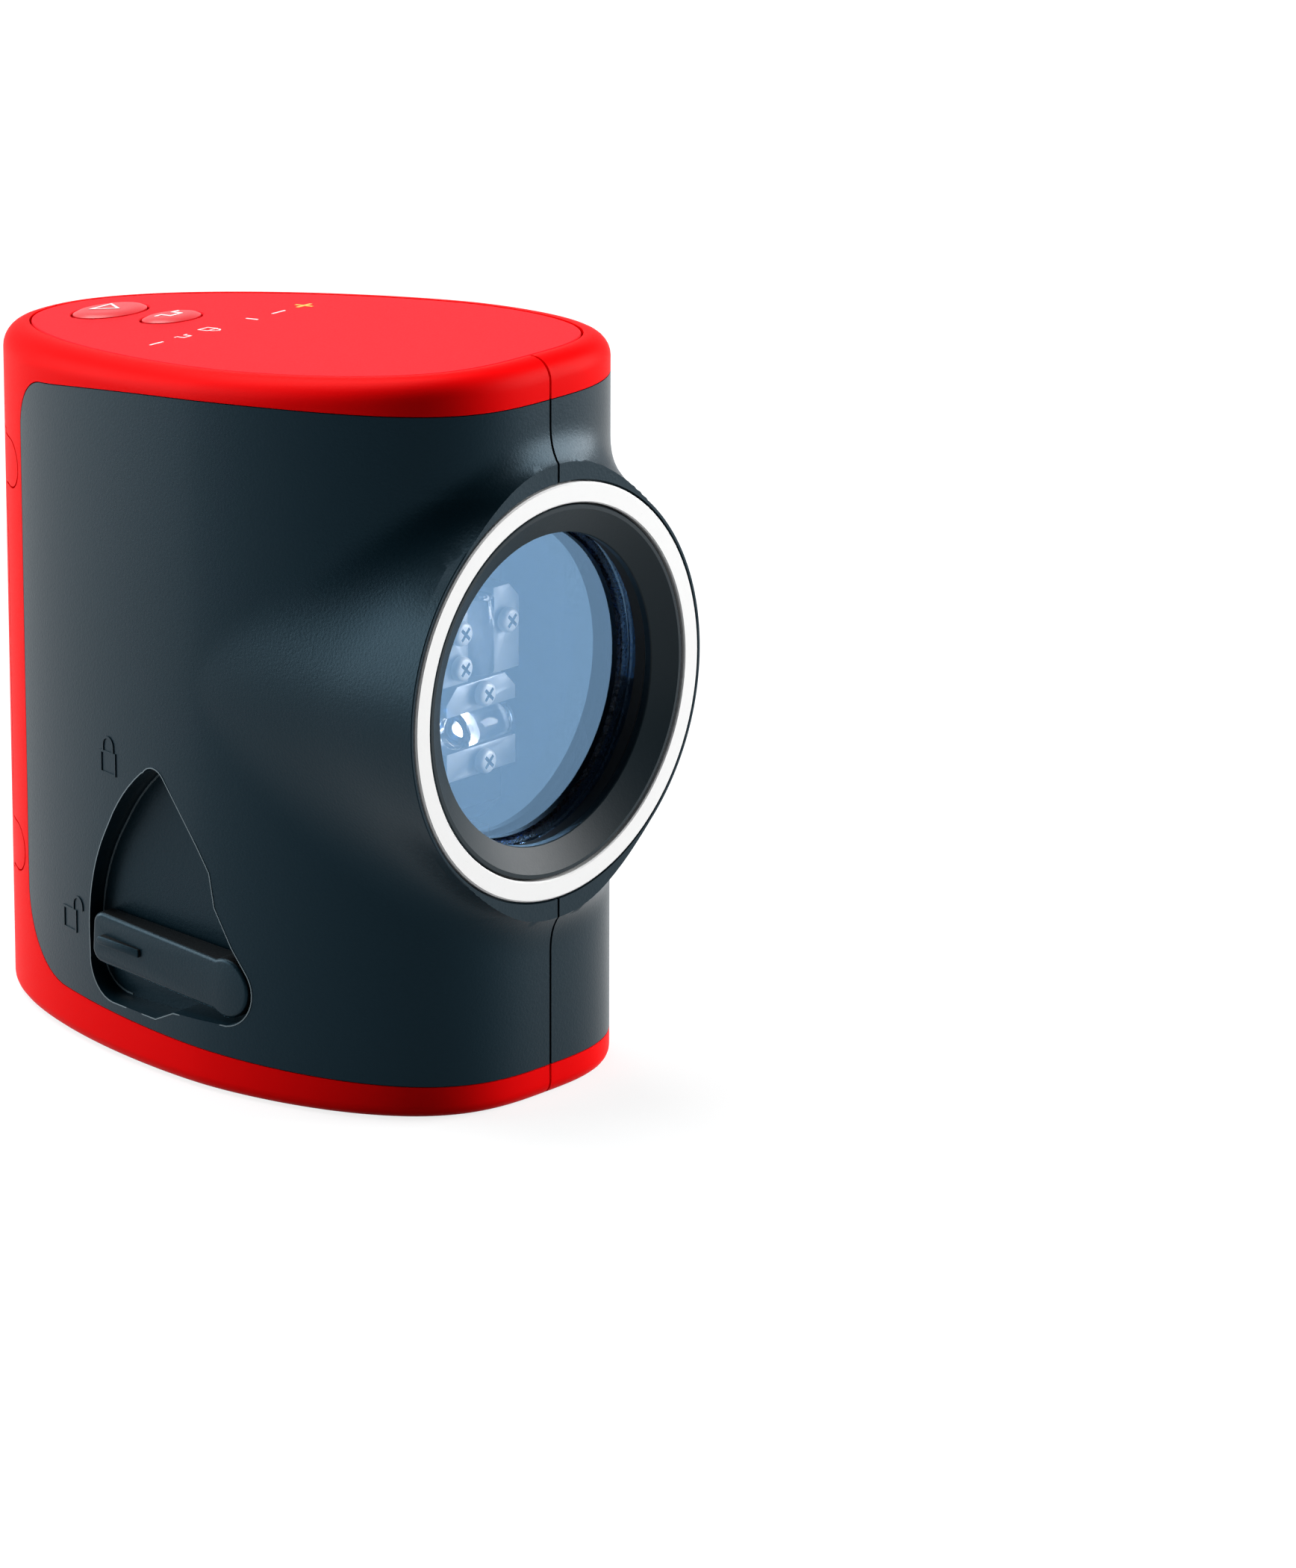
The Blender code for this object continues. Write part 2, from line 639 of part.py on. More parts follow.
def housing():
    """The two red frames, the two grey panels and the battery door, cut from one moulded shell."""
    shell = combine(body_blank(), body_core())
    seat = COLLAR_Y + RING_T - RING_PROUD + GAP
    bezel_r = RING_R - RING_WIDTH + GAP
    back = COLLAR_Y + BEZEL_DEPTH + GAP
    lens = [(RING_R + GAP, COLLAR_Y - FAR), (RING_R + GAP, seat), (bezel_r + GAP, seat)]
    lens += [(bezel_r + GAP, back), (CHAMBER_R, back), (CHAMBER_R, back + CHAMBER_DEPTH)]
    combine(shell, solid("lens_bore", turned("Y", (0, LENS_Z), lens)))
    combine(shell, solid("plate_seat", slab(footprint(PLATE_INSET - GAP), -FAR, PLATE_T + GAP)))
    combine(shell, solid("deck_hole", slab(footprint(PLATE_INSET + LEDGE), -FAR, DECK_DEPTH + WALL)))
    combine(shell, solid("bush_hole", rod("Z", (0, bush_y()), BUSH_R + GAP, -FAR, FLOOR_T + GAP)))
    for y, z in screw_places().values():
        profile = [(SCREW_R + GAP, -SCREW_REACH - GAP), (SCREW_R + GAP, SCREW_SEAT)]
        profile += [(SCREW_HEAD_R + GAP, SCREW_SEAT), (SCREW_HEAD_R + GAP, FAR)]
        combine(shell, solid("screw_hole", turned("X", (y, z), profile, ROUND)))
    for side in (-1, 1):
        hole = rod("Z", (side * BRACKET_SCREW_X, PIVOT.y), SCREW_R + GAP, PIVOT.z, PIVOT.z + BRACKET_RISE)
        combine(shell, solid("shelf_hole", hole))

    door = combine(twin(shell, "battery_door", "red"), door_prism(0), "INTERSECT")
    set_origin(door, (0, Y0 + BODY_REAR, (DOOR_BASE_Z + DOOR_TOP_Z) / 2))
    for side, name in ((-1, "left"), (1, "right")):
        frame = half(shell, name + "_frame", side, "red")
        combine(frame, door_prism(GAP))
        panel = combine(twin(frame, name + "_panel", "grey"), panel_prism(0), "INTERSECT")
        combine(frame, panel_prism(GAP))
        if side < 0:
            combine(panel, solid("recess", prism(recess_outline(), "X", -FAR, -RECESS_FLOOR)))
            bore = rod("X", (Y0 + LEVER_Y, LEVER_Z), SHAFT_R + GAP, -FAR, 0)
            combine(panel, solid("shaft_bore", bore))
    bpy.data.objects.remove(shell)


def window_set():
    """White ring, dark cone bezel, gasket, glass and the clip that holds the glass."""
    centre = (0, LENS_Z)
    front = COLLAR_Y - RING_PROUD
    inner = RING_R - RING_WIDTH
    ring = [(inner, front), (RING_R, front), (RING_R, front + RING_T), (inner, front + RING_T)]
    solid("lens_ring", ringed("Y", centre, ring), "white")
    step = front + RING_T + GAP
    back = COLLAR_Y + BEZEL_DEPTH
    outer = inner + GAP
    seat_r = outer - BEZEL_WALL
    mouth = COLLAR_Y + BEZEL_CONE
    seat = mouth + BEZEL_TUBE
    bezel = [(inner - GAP, COLLAR_Y), (inner - GAP, step), (outer, step), (outer, back), (seat_r, back)]
    bezel += [(seat_r, seat), (BEZEL_LIP_R, seat), (BEZEL_LIP_R, mouth), (inner - 3 * GAP, COLLAR_Y)]
    solid("bezel", ringed("Y", centre, bezel), "grey")

    def disc_ring(name, inside, start, thick, finish):
        rim = seat_r - GAP
        profile = [(inside, start), (rim, start), (rim, start + thick), (inside, start + thick)]
        solid(name, ringed("Y", centre, profile), finish)

    start = seat + GAP
    disc_ring("window_gasket", seat_r - GASKET_LIP, start, GASKET_T, "rubber")
    start += GASKET_T + GAP
    solid("window", rod("Y", centre, seat_r - GAP, start, start + WINDOW_T, RING_SIDES), "glass")
    start += WINDOW_T + GAP
    disc_ring("window_clip", seat_r - GASKET_LIP, start, CLIP_T, "steel")


def keypad_set():
    """The plate in the top, its two keys, and the board with the switches under them."""
    plate = solid("top_plate", slab(footprint(PLATE_INSET), 0, PLATE_T), "red")
    flange_base = PLATE_T + GAP + KEY_FLANGE
    switch_top = flange_base + KEY_TRAVEL + GAP
    board_top = switch_top + SWITCH_T + GAP
    keys = [("power", POWER_KEY_Y, POWER_KEY_RX, POWER_KEY_RY)]
    keys.append(("pulse", PULSE_KEY_Y, PULSE_KEY_RX, PULSE_KEY_RY))
    for name, key_y, rx, ry in keys:
        y = Y0 + key_y
        combine(plate, solid("key_hole", slab(oval(rx + GAP, ry + GAP, y), -FAR, FAR)))
        wide = KEY_FLANGE
        shape = [(-wide, -KEY_PROUD), (0, 0), (0, PLATE_T + GAP), (wide, PLATE_T + GAP), (wide, flange_base)]
        rings = [[(px, py, top_z(py) - depth) for px, py in oval(rx + g, ry + g, y)] for g, depth in shape]
        set_origin(solid(name + "_button", loft(rings), "red"), (0, y, top_z(y)))
        s = SWITCH_SIDE / 2
        square = [(-s, y - s), (s, y - s), (s, y + s), (-s, y + s)]
        solid(name + "_switch", slab(square, switch_top, switch_top + SWITCH_T), "steel")
    near = Y0 + PULSE_KEY_Y - PULSE_KEY_RY - KEY_FLANGE - BOARD_MARGIN
    far = Y0 + POWER_KEY_Y + SWITCH_SIDE / 2 + GAP
    wide = half_width(far) - WALL - BOARD_MARGIN
    broad = POWER_KEY_RX + KEY_FLANGE + BOARD_MARGIN
    middle = Y0 + PULSE_KEY_Y
    board = [(-broad, near), (broad, near), (broad, middle), (wide, far), (-wide, far), (-broad, middle)]
    solid("keypad_board", slab(board, board_top, board_top + BOARD_T), "board")
    peg_x = broad - BOARD_PEG_R - GAP
    for y in (near + 2 * BOARD_PEG_R, middle):
        for x in (-peg_x, peg_x):
            peg = slab(circle(BOARD_PEG_R, SCREW_SIDES, (x, y)), PLATE_T / 2, board_top - GAP)
            combine(plate, solid("peg", peg), "UNION")


def lever_outline():
    """The lever from the side at rest: a round hub and a bar with a blunt round end."""
    half_w, length, r = LEVER_HALF, LEVER_LEN, LEVER_END_ROUND
    lean = math.asin(half_w / LEVER_HUB_R)
    points = arc((0, 0), LEVER_HUB_R, lean, 2 * math.pi - lean, 14)
    points += arc((length - r, r - half_w), r, -math.pi / 2, 0, 4)
    points += arc((length - r, half_w - r), r, 0, math.pi / 2, 4)
    return points


def lever_place(along, across):
    """A point on the lever at rest, as y and z."""
    c, s = math.cos(LEVER_REST), math.sin(LEVER_REST)
    return Y0 + LEVER_Y + along * c - across * s, LEVER_Z + along * s + across * c


def lever_set():
    """Lever, shaft with its spiral cam, and the brake plunger that the cam lifts, in their bridge."""
    axis = (Y0 + LEVER_Y, LEVER_Z)
    inner = -RECESS_FLOOR - GAP
    fall = (LEVER_HUB_FACE - LEVER_TIP_FACE) / LEVER_LEN
    rings = []
    for shrink, lift in ((1.0, None), (1.0, LEVER_EDGE), (LEVER_CROWN, 0.0)):
        ring = []
        for along, across in lever_outline():
            face = -(LEVER_HUB_FACE - fall * max(along, 0.0))
            x = inner if lift is None else face + lift
            ring.append((x, *lever_place(along, across * shrink)))
        rings.append(ring)
    lever = solid("lock_lever", loft(rings), "grey")
    tip = LEVER_LEN - LEVER_HALF / 2
    rib = [(tip - LEVER_RIB_LEN, -LEVER_RIB_W / 2), (tip, -LEVER_RIB_W / 2)]
    rib += [(tip, LEVER_RIB_W / 2), (tip - LEVER_RIB_LEN, LEVER_RIB_W / 2)]
    low = [(inner - TUB_FLOOR / 2, *lever_place(a, b)) for a, b in rib]
    crest = [fall * a - LEVER_HUB_FACE - LEVER_RIB_H for a, b in rib]
    high = [(x, *lever_place(a, b * LEVER_RIB_TAPER)) for x, (a, b) in zip(crest, rib)]
    combine(lever, solid("rib", loft([low, high])), "UNION")
    set_origin(lever, (inner, *axis))

    leg = STEM_R + GAP + BRIDGE_T / 2
    shaft = solid("lock_shaft", rod("X", axis, SHAFT_R, -RECESS_FLOOR, leg + BRIDGE_T), "steel")
    lobe = []
    for i in range(LOBE_SIDES):
        turn = 2 * math.pi * i / LOBE_SIDES
        climb = (turn - CAM_DWELL) / LEVER_SWING
        fall = 1 - (turn - CAM_DWELL - LEVER_SWING) / (math.pi / 2)
        radius = CAM_BASE + LOCK_LIFT * max(0.0, min(climb, fall))
        lobe.append((axis[0] + radius * math.sin(turn), axis[1] + radius * math.cos(turn)))
    combine(shaft, solid("cam", prism(lobe, "X", -CAM_HALF, CAM_HALF)), "UNION")
    set_origin(shaft, (0, *axis))

    foot = STEM_TIP_Z + STEM_FOOT
    stem = [(STEM_TIP_R, STEM_TIP_Z), (STEM_R / 2, foot), (STEM_R, foot + GAP), (STEM_R, STEM_TOP_Z)]
    place_xy = (0, axis[0])
    set_origin(solid("lock_plunger", turned("Z", place_xy, stem, ROUND), "steel"), (0, axis[0], STEM_TIP_Z))
    pad = rod("Z", place_xy, PAD_R, STEM_TOP_Z + GAP, BRAKE_Z)
    set_origin(solid("brake_pad", pad, "rubber"), (0, axis[0], STEM_TOP_Z))

    out, top = leg + BRIDGE_T, GUIDE_Z + GUIDE_T
    outline = [(-out, FLOOR_Z), (-leg, FLOOR_Z), (-leg, GUIDE_Z), (leg, GUIDE_Z)]
    outline += [(leg, FLOOR_Z), (out, FLOOR_Z), (out, top), (-out, top)]
    bridge = prism(outline, "Y", axis[0] - BRIDGE_HALF, axis[0] + BRIDGE_HALF)
    bridge = solid("lock_bridge", bridge, "black")
    combine(bridge, solid("bearing", rod("X", axis, SHAFT_R + RUN_FIT, -FAR, FAR)))
    combine(bridge, solid("guide", rod("Z", place_xy, STEM_R + RUN_FIT, LEVER_Z, FAR)))


def gimbal_set():
    """The fixed bracket, the swinging ring and the four pins that cross at the pivot."""
    x, y, z = PIVOT
    inner = GIMBAL_HALF_L + 2 * GAP
    outer = inner + EAR_T
    low, top = z - GIMBAL_HALF_H - GAP, z + BRACKET_RISE + BRACKET_T
    under = z + BRACKET_RISE
    ears = [(y - outer, low), (y - inner, low), (y - inner, under), (y + inner, under), (y + inner, low)]
    ears += [(y + outer, low), (y + outer, top), (y - outer, top)]
    bracket = solid("gimbal_bracket", prism(ears, "X", -EAR_HALF_W, EAR_HALF_W), "zinc")
    arm = box((-BRACKET_HALF_W, y - ARM_HALF, under), (BRACKET_HALF_W, y + ARM_HALF, top))
    combine(bracket, solid("arm", arm), "UNION")
    combine(bracket, solid("pin_hole", rod("Y", (x, z), PIN_R + RUN_FIT, -FAR, FAR)))
    for side, name in ((-1, "left"), (1, "right")):
        spot = (side * BRACKET_SCREW_X, y)
        combine(bracket, solid("screw_hole", rod("Z", spot, SCREW_R + GAP, z, FAR)))
        solid("bracket_screw_" + name, screw("Z", spot, under - SHELF_T, top + GAP), "steel")

    span = Vector((GIMBAL_HALF_W, GIMBAL_HALF_L, GIMBAL_HALF_H))
    ring = solid("gimbal_ring", box(PIVOT - span, PIVOT + span), "zinc")
    in_w, in_l = GIMBAL_HALF_W - GIMBAL_WALL, GIMBAL_HALF_L - GIMBAL_WALL
    combine(ring, solid("hollow", box((-in_w, y - in_l, -FAR), (in_w, y + in_l, FAR))))
    combine(ring, solid("roll_hole", rod("Y", (x, z), PIN_R + RUN_FIT, -FAR, FAR)))
    combine(ring, solid("pitch_hole", rod("X", (y, z), PIN_R + RUN_FIT, -FAR, FAR)))
    set_origin(ring, PIVOT)
    solid("roll_pin_front", rod("Y", (x, z), PIN_R, y - outer, y - in_l - GAP), "steel")
    solid("roll_pin_rear", rod("Y", (x, z), PIN_R, y + in_l + GAP, y + outer), "steel")
    reach = GIMBAL_HALF_W + 2 * GAP + ARM_T
    for side, name in ((-1, "left"), (1, "right")):
        low, high = sorted((side * (in_w + GAP), side * reach))
        set_origin(solid("pitch_pin_" + name, rod("X", (y, z), PIN_R, low, high), "steel"), PIVOT)


def clamp(name, centre_z, half_w, half_h, lens_axis):
    """A lens clamp on the pendulum's front, with a groove for its rod lens and a hole for the beam."""
    back = PIVOT.y - BLOCK_HALF_L - GAP
    front = back - CLAMP_T
    cut = half_h / 3
    base, top = centre_z - half_h, centre_z + half_h
    outline = [(-half_w, base), (half_w, base), (half_w, top - cut)]
    outline += [(half_w - cut, top), (cut - half_w, top), (-half_w, top - cut)]
    body = solid(name, prism(outline, "Y", front, back), "zinc")
    lens_y = front + ROD_SINK
    across = (0, lens_y) if lens_axis == "Z" else (lens_y, centre_z)
    combine(body, solid("groove", rod(lens_axis, across, ROD_R + GAP, -FAR, FAR)))
    combine(body, solid("beam", rod("Y", (0, centre_z), ROD_R / 2, -FAR, FAR)))
    middle = centre_z if lens_axis == "Z" else 0
    lens = rod(lens_axis, across, ROD_R, middle - ROD_HALF_LEN, middle + ROD_HALF_LEN)
    set_origin(solid("vertical_lens" if lens_axis == "Z" else "horizontal_lens", lens, "glass"), PIVOT)
    return body, front


def clamp_screws(body, front, places):
    """Pan-head screws through a clamp's front face."""
    for name, x, z in places:
        hole = rod("Y", (x, z), CLAMP_SCREW_R + GAP, front - FAR, front + CLAMP_SCREW_LEN + GAP, SCREW_SIDES)
        combine(body, solid("hole", hole))
        seat = front - GAP
        profile = [(CLAMP_HEAD_FLAT, seat - CLAMP_HEAD_H), (CLAMP_HEAD_R, seat - CLAMP_HEAD_H / 2)]
        profile += [(CLAMP_HEAD_R, seat), (CLAMP_SCREW_R, seat), (CLAMP_SCREW_R, front + CLAMP_SCREW_LEN)]
        set_origin(solid(name, turned("Y", (x, z), profile, SCREW_SIDES), "steel"), PIVOT)
    set_origin(body, PIVOT)


def pendulum_set():
    """The hanging body with its two laser barrels, lens clamps and damper plate."""
    y, z = PIVOT.y, PIVOT.z
    inner = GIMBAL_HALF_W + 2 * GAP
    outer = inner + ARM_T
    top, base = LENS_Z + BLOCK_TOP, BLOCK_BASE_Z
    hip = BLOCK_HALF_L / 3
    side = [(y - BLOCK_HALF_L, base + hip), (y - BLOCK_HALF_L + hip, base), (y + BLOCK_HALF_L - hip, base)]
    side += [(y + BLOCK_HALF_L, base + hip), (y + BLOCK_HALF_L, top - hip), (y + ARM_HALF, top)]
    arm = ARM_HALF
    side += [(y + arm, z + arm / 2), (y + arm / 2, z + arm), (y - arm / 2, z + arm), (y - arm, z + arm / 2)]
    side += [(y - arm, top), (y - BLOCK_HALF_L, top)]
    body = solid("pendulum_body", prism(side, "X", -outer, outer), "zinc")
    combine(body, solid("fork", box((-inner, -FAR, top), (inner, FAR, FAR))))
    combine(body, solid("pin_hole", rod("X", (y, z), PIN_R + RUN_FIT, -FAR, FAR)))
    upper, lower = LENS_Z + UPPER_RISE, LENS_Z - LOWER_DROP
    front = y - BLOCK_HALF_L
    for name, level in (("upper_laser", upper), ("lower_laser", lower)):
        combine(body, solid("bore", rod("Y", (0, level), BARREL_R + GAP, -FAR, FAR)))
        end = front + BARREL_LEN
        profile = [(BARREL_R / 2, front), (BARREL_R, front + GAP)]
        profile += [(BARREL_R, end - BARREL_R / 2), (BARREL_END_R, end)]
        set_origin(solid(name, turned("Y", (0, level), profile, ROUND), "brass"), PIVOT)
    set_origin(body, PIVOT)

    rise = UPPER_CLAMP_HALF_H - CLAMP_HEAD_R - 2 * GAP
    body, front = clamp("upper_clamp", upper, UPPER_CLAMP_HALF_W, UPPER_CLAMP_HALF_H, "Z")
    places = [("clamp_screw_left", -CLAMP_SCREW_X, upper + rise / 3)]
    places.append(("clamp_screw_right", CLAMP_SCREW_X, upper + rise / 3))
    places.append(("clamp_screw_low", -CLAMP_SCREW_X, upper - rise))
    clamp_screws(body, front, places)
    body, front = clamp("lower_clamp", lower, LOWER_CLAMP_HALF_W, LOWER_CLAMP_HALF_H, "X")
    offset = ROD_R + CLAMP_HEAD_R + 2 * GAP
    places = [("clamp_screw_top", 0, lower + offset), ("clamp_screw_base", 0, lower - offset)]
    clamp_screws(body, front, places)

    plate_top = base - GAP
    wide = DAMPER_HALF
    plate = box((-wide, y - wide, plate_top - DAMPER_T), (wide, y + wide, plate_top))
    set_origin(solid("damper_plate", plate, "copper"), PIVOT)
    magnet_y = y - MAGNET_BACK
    magnet_top = plate_top - DAMPER_T - MAGNET_CLEAR
    spot = (0, magnet_y)
    solid("damper_magnet", rod("Z", spot, MAGNET_R, magnet_top - MAGNET_T, magnet_top), "steel")
    post_top = magnet_top - MAGNET_T - GAP
    post = []
    for w, level in ((POST_HALF * (1 + POST_TAPER), FLOOR_Z), (POST_HALF * (1 - POST_TAPER), post_top)):
        low, high = magnet_y - w, magnet_y + w
        post.append([(-w, low, level), (w, low, level), (w, high, level), (-w, high, level)])
    solid("magnet_post", loft(post), "black")


def power_set():
    """The tray, its three cells and their contact plates, and the laser driver board in front of it."""
    row, front = cell_row(), tray_front()
    tail = row + CELL_ROW
    base = CELL_BASE_Z
    spots = {"cell_left": (-CELL_SPREAD, row), "cell_right": (CELL_SPREAD, row), "cell_rear": (0, tail)}
    nub = CELL_R / 3
    for name, spot in spots.items():
        shoulder = CELL_TOP_Z - nub / 2
        profile = [(CELL_R, base), (CELL_R, shoulder), (nub, shoulder), (nub, CELL_TOP_Z)]
        solid(name, turned("Z", spot, profile, ROUND), "cell")
    wide = CELL_SPREAD + CELL_R + GAP
    back = tail + CELL_R / 2
    narrow = min(wide, half_width(back, WALL) - TRAY_MARGIN - TRAY_WALL)
    side = row + CELL_R
    inside = [(-wide, front), (wide, front), (wide, side), (narrow, FAR), (-narrow, FAR), (-wide, side)]
    out, thin = wide + TRAY_WALL, narrow + TRAY_WALL
    floor = base - CONTACT_T - 2 * GAP
    roof = base + CELL_LEN + CONTACT_T + 2 * GAP
    face = front - TRAY_WALL
    shape = [(-out, face), (out, face), (out, side), (thin, back), (-thin, back), (-out, side)]
    tray = solid("battery_tray", prism(shape, "Z", FLOOR_Z, roof + TRAY_WALL), "black")
    combine(tray, solid("bay", prism(inside, "Z", floor, roof)))
    combine(tray, solid("under", box((-FAR, front, -FAR), (FAR, FAR, floor - TRAY_WALL))))
    reach, near = wide - GAP, front + GAP
    pad = [(-reach, near), (reach, near), (reach, row), (nub, tail), (-nub, tail), (-reach, row)]
    solid("contact_base", prism(pad, "Z", floor + GAP, floor + GAP + CONTACT_T), "steel")
    solid("contact_top", prism(pad, "Z", roof - GAP - CONTACT_T, roof - GAP), "steel")
    face -= GAP
    middle = (CELL_BASE_Z + CELL_TOP_Z) / 2
    board = box((-out, face - DRIVER_T, middle - DRIVER_H / 2), (out, face, middle + DRIVER_H / 2))
    solid("driver_board", board, "board")


def base_set():
    """The brass tripod bush and the block that holds it."""
    hole, top = BUSH_R + GAP, FLOOR_Z + BLOCK_H
    ring = [(hole, FLOOR_Z), (BLOCK_R, FLOOR_Z), (BLOCK_R, top), (hole, top)]
    solid("tripod_block", ringed("Z", (0, bush_y()), ring, ROUND), "black")
    bush = [(BUSH_BORE_R, GAP), (BUSH_R, GAP), (BUSH_R, GAP + BUSH_LEN), (BUSH_BORE_R, GAP + BUSH_LEN)]
    solid("tripod_bush", ringed("Z", (0, bush_y()), bush, ROUND), "brass")


def housing_screws():
    """Screws that hold the halves together, in from the right side."""
    for name, spot in screw_places().items():
        solid(name, screw("X", spot, -SCREW_REACH, SCREW_SEAT + GAP), "steel")


housing()
window_set()
keypad_set()
lever_set()
gimbal_set()
pendulum_set()
power_set()
base_set()
housing_screws()
for thing in bpy.data.objects:
    thing.data.shade_smooth()
    thing.data.set_sharp_from_angle(angle=math.radians(32))
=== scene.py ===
# %% [markdown]
# # Dressing a cross-line laser level
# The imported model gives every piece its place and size. This lesson puts finer skins and real finishes
# on it: red and grey moulded plastic, a white lens ring, coated glass and the little die-cast pendulum
# behind it.

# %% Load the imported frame
import math

import bmesh
import bpy
from mathutils import Matrix, Vector


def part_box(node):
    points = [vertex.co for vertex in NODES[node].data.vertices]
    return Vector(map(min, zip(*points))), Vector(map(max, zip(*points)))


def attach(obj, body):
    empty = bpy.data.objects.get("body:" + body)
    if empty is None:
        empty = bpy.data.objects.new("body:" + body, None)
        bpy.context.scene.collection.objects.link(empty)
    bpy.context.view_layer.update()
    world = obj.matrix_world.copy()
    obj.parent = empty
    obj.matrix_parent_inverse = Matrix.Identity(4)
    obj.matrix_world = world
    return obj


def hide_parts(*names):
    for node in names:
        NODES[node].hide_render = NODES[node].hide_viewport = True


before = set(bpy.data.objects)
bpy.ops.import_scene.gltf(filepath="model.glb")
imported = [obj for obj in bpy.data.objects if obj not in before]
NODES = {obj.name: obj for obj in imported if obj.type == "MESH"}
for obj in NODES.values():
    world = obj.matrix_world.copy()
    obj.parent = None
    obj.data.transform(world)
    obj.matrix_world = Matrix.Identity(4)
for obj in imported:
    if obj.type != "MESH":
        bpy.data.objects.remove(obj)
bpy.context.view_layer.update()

MM = 0.001

# %% [markdown]
# ## The camera
# A long lens from the front left and a little above. Its place was worked out by fitting the body's
# outline and the round lens ring to the photograph, so it is written as angles round the body, a
# distance and a height.

# %% Camera at the photograph's angle
Y0 = -8.325 * MM
AZIMUTH, DISTANCE, HEIGHT = 0.7455, 0.99943, 0.33574
YAW, PITCH, ROLL = -0.0391, 0.2931, 0.0037

lens = bpy.data.cameras.new("photo_camera")
lens.lens = 186.85
lens.sensor_width = 36
lens.clip_start = 0.05
camera = bpy.data.objects.new("photo_camera", lens)
bpy.context.scene.collection.objects.link(camera)
bpy.context.scene.camera = camera
heading = AZIMUTH + YAW
ahead = Vector((math.cos(heading), math.sin(heading), 0))
right = Vector((math.sin(heading), -math.cos(heading), 0))
look = ahead * math.cos(PITCH) - Vector((0, 0, math.sin(PITCH)))
lift = ahead * math.sin(PITCH) + Vector((0, 0, math.cos(PITCH)))
across = right * math.cos(ROLL) + lift * math.sin(ROLL)
upward = lift * math.cos(ROLL) - right * math.sin(ROLL)
turn = Matrix((across, upward, -look)).transposed().to_4x4()
spot = Vector((-math.cos(AZIMUTH) * DISTANCE, Y0 - math.sin(AZIMUTH) * DISTANCE, HEIGHT))
camera.matrix_world = Matrix.Translation(spot) @ turn
print("camera at", [round(c, 3) for c in spot])

# %% [markdown]
# ## Colours and nodes
# Colours are written as they look on a screen, and one function turns them to the linear values that
# the renderer needs. One more small function adds a node with its settings and links, so a material
# reads from top to bottom.


# %% Colour and node helpers
def linear(code):
    """A linear colour from a hex code as seen on screen."""
    parts = [int(code[i:i + 2], 16) / 255 for i in (1, 3, 5)]
    return [c / 12.92 if c <= 0.04045 else ((c + 0.055) / 1.055) ** 2.4 for c in parts] + [1.0]


def put(mat, kind, sockets=(), **settings):
    """Add a node: settings are its options, sockets are values or links by name or number."""
    made = mat.node_tree.nodes.new(kind)
    for name, value in settings.items():
        setattr(made, name, value)
    for name, value in dict(sockets).items():
        if isinstance(value, bpy.types.NodeSocket):
            mat.node_tree.links.new(value, made.inputs[name])
        else:
            made.inputs[name].default_value = value
    return made


def finish(name, colour, **sockets):
    """A material with one Principled shader, and that shader."""
    mat = bpy.data.materials.new(name)
    mat.use_nodes = True
    shader = mat.node_tree.nodes["Principled BSDF"]
    shader.inputs["Base Color"].default_value = linear(colour)
    for label, value in sockets.items():
        shader.inputs[label.replace("_", " ")].default_value = value
    return mat, shader


print("white is", linear("#ffffff")[:3])

# %% [markdown]
# ## Studio
# The instrument stands on a wide pale floor under three soft boxes: a cool one behind on the left, one
# low in front on the right and one above. The flanks shine and the side that faces the camera falls off
# to dark, as in the photograph. The pale world and the floor's glow are there for the camera. Mirror
# and glass rays see them too, the world only on the far side of the object, like a backdrop. For all
# other light both stay dim, so the background doesn't light the object and the floor keeps its shadow.


# %% Floor, world and soft boxes
def softbox(name, place, target, width, height, power, colour="#ffffff"):
    """A soft rectangular lamp that looks at a point."""
    lamp = bpy.data.lights.new(name, "AREA")
    lamp.shape = "RECTANGLE"
    lamp.size, lamp.size_y = width, height
    lamp.energy = power
    lamp.color = linear(colour)[:3]
    holder = bpy.data.objects.new(name, lamp)
    bpy.context.scene.collection.objects.link(holder)
    holder.location = place
    holder.rotation_euler = (Vector(target) - Vector(place)).to_track_quat("-Z", "Y").to_euler()


WORLD_DIM, WORLD_PALE = 0.06, 1.0
BACKDROP_EDGE = {"From Min": 0.1, "From Max": 0.6}
PAPER_GLOW = 0.80
FLOOR_HALF = 6.0

bpy.context.scene.view_settings.view_transform = "Standard"
world = bpy.data.worlds.new("studio")
bpy.context.scene.world = world
world.use_nodes = True
world.node_tree.nodes["Background"].inputs["Color"].default_value = linear("#e6ebf0")
paths = put(world, "ShaderNodeLightPath")
way = put(world, "ShaderNodeTexCoord").outputs["Generated"]
facing = put(world, "ShaderNodeVectorMath", {0: way, 1: ahead}, operation="DOT_PRODUCT").outputs["Value"]
behind = put(world, "ShaderNodeMapRange", {"Value": facing, **BACKDROP_EDGE}).outputs[0]
kinds = {0: paths.outputs["Is Glossy Ray"], 1: paths.outputs["Is Transmission Ray"]}
mirrored = put(world, "ShaderNodeMath", kinds, operation="MAXIMUM").outputs[0]
backdrop = put(world, "ShaderNodeMath", {0: mirrored, 1: behind}, operation="MULTIPLY").outputs[0]
kinds = {0: paths.outputs["Is Camera Ray"], 1: backdrop}
seen = put(world, "ShaderNodeMath", kinds, operation="MAXIMUM").outputs[0]
level = put(world, "ShaderNodeMapRange", {"Value": seen, "To Min": WORLD_DIM, "To Max": WORLD_PALE})
world.node_tree.links.new(level.outputs[0], world.node_tree.nodes["Background"].inputs["Strength"])

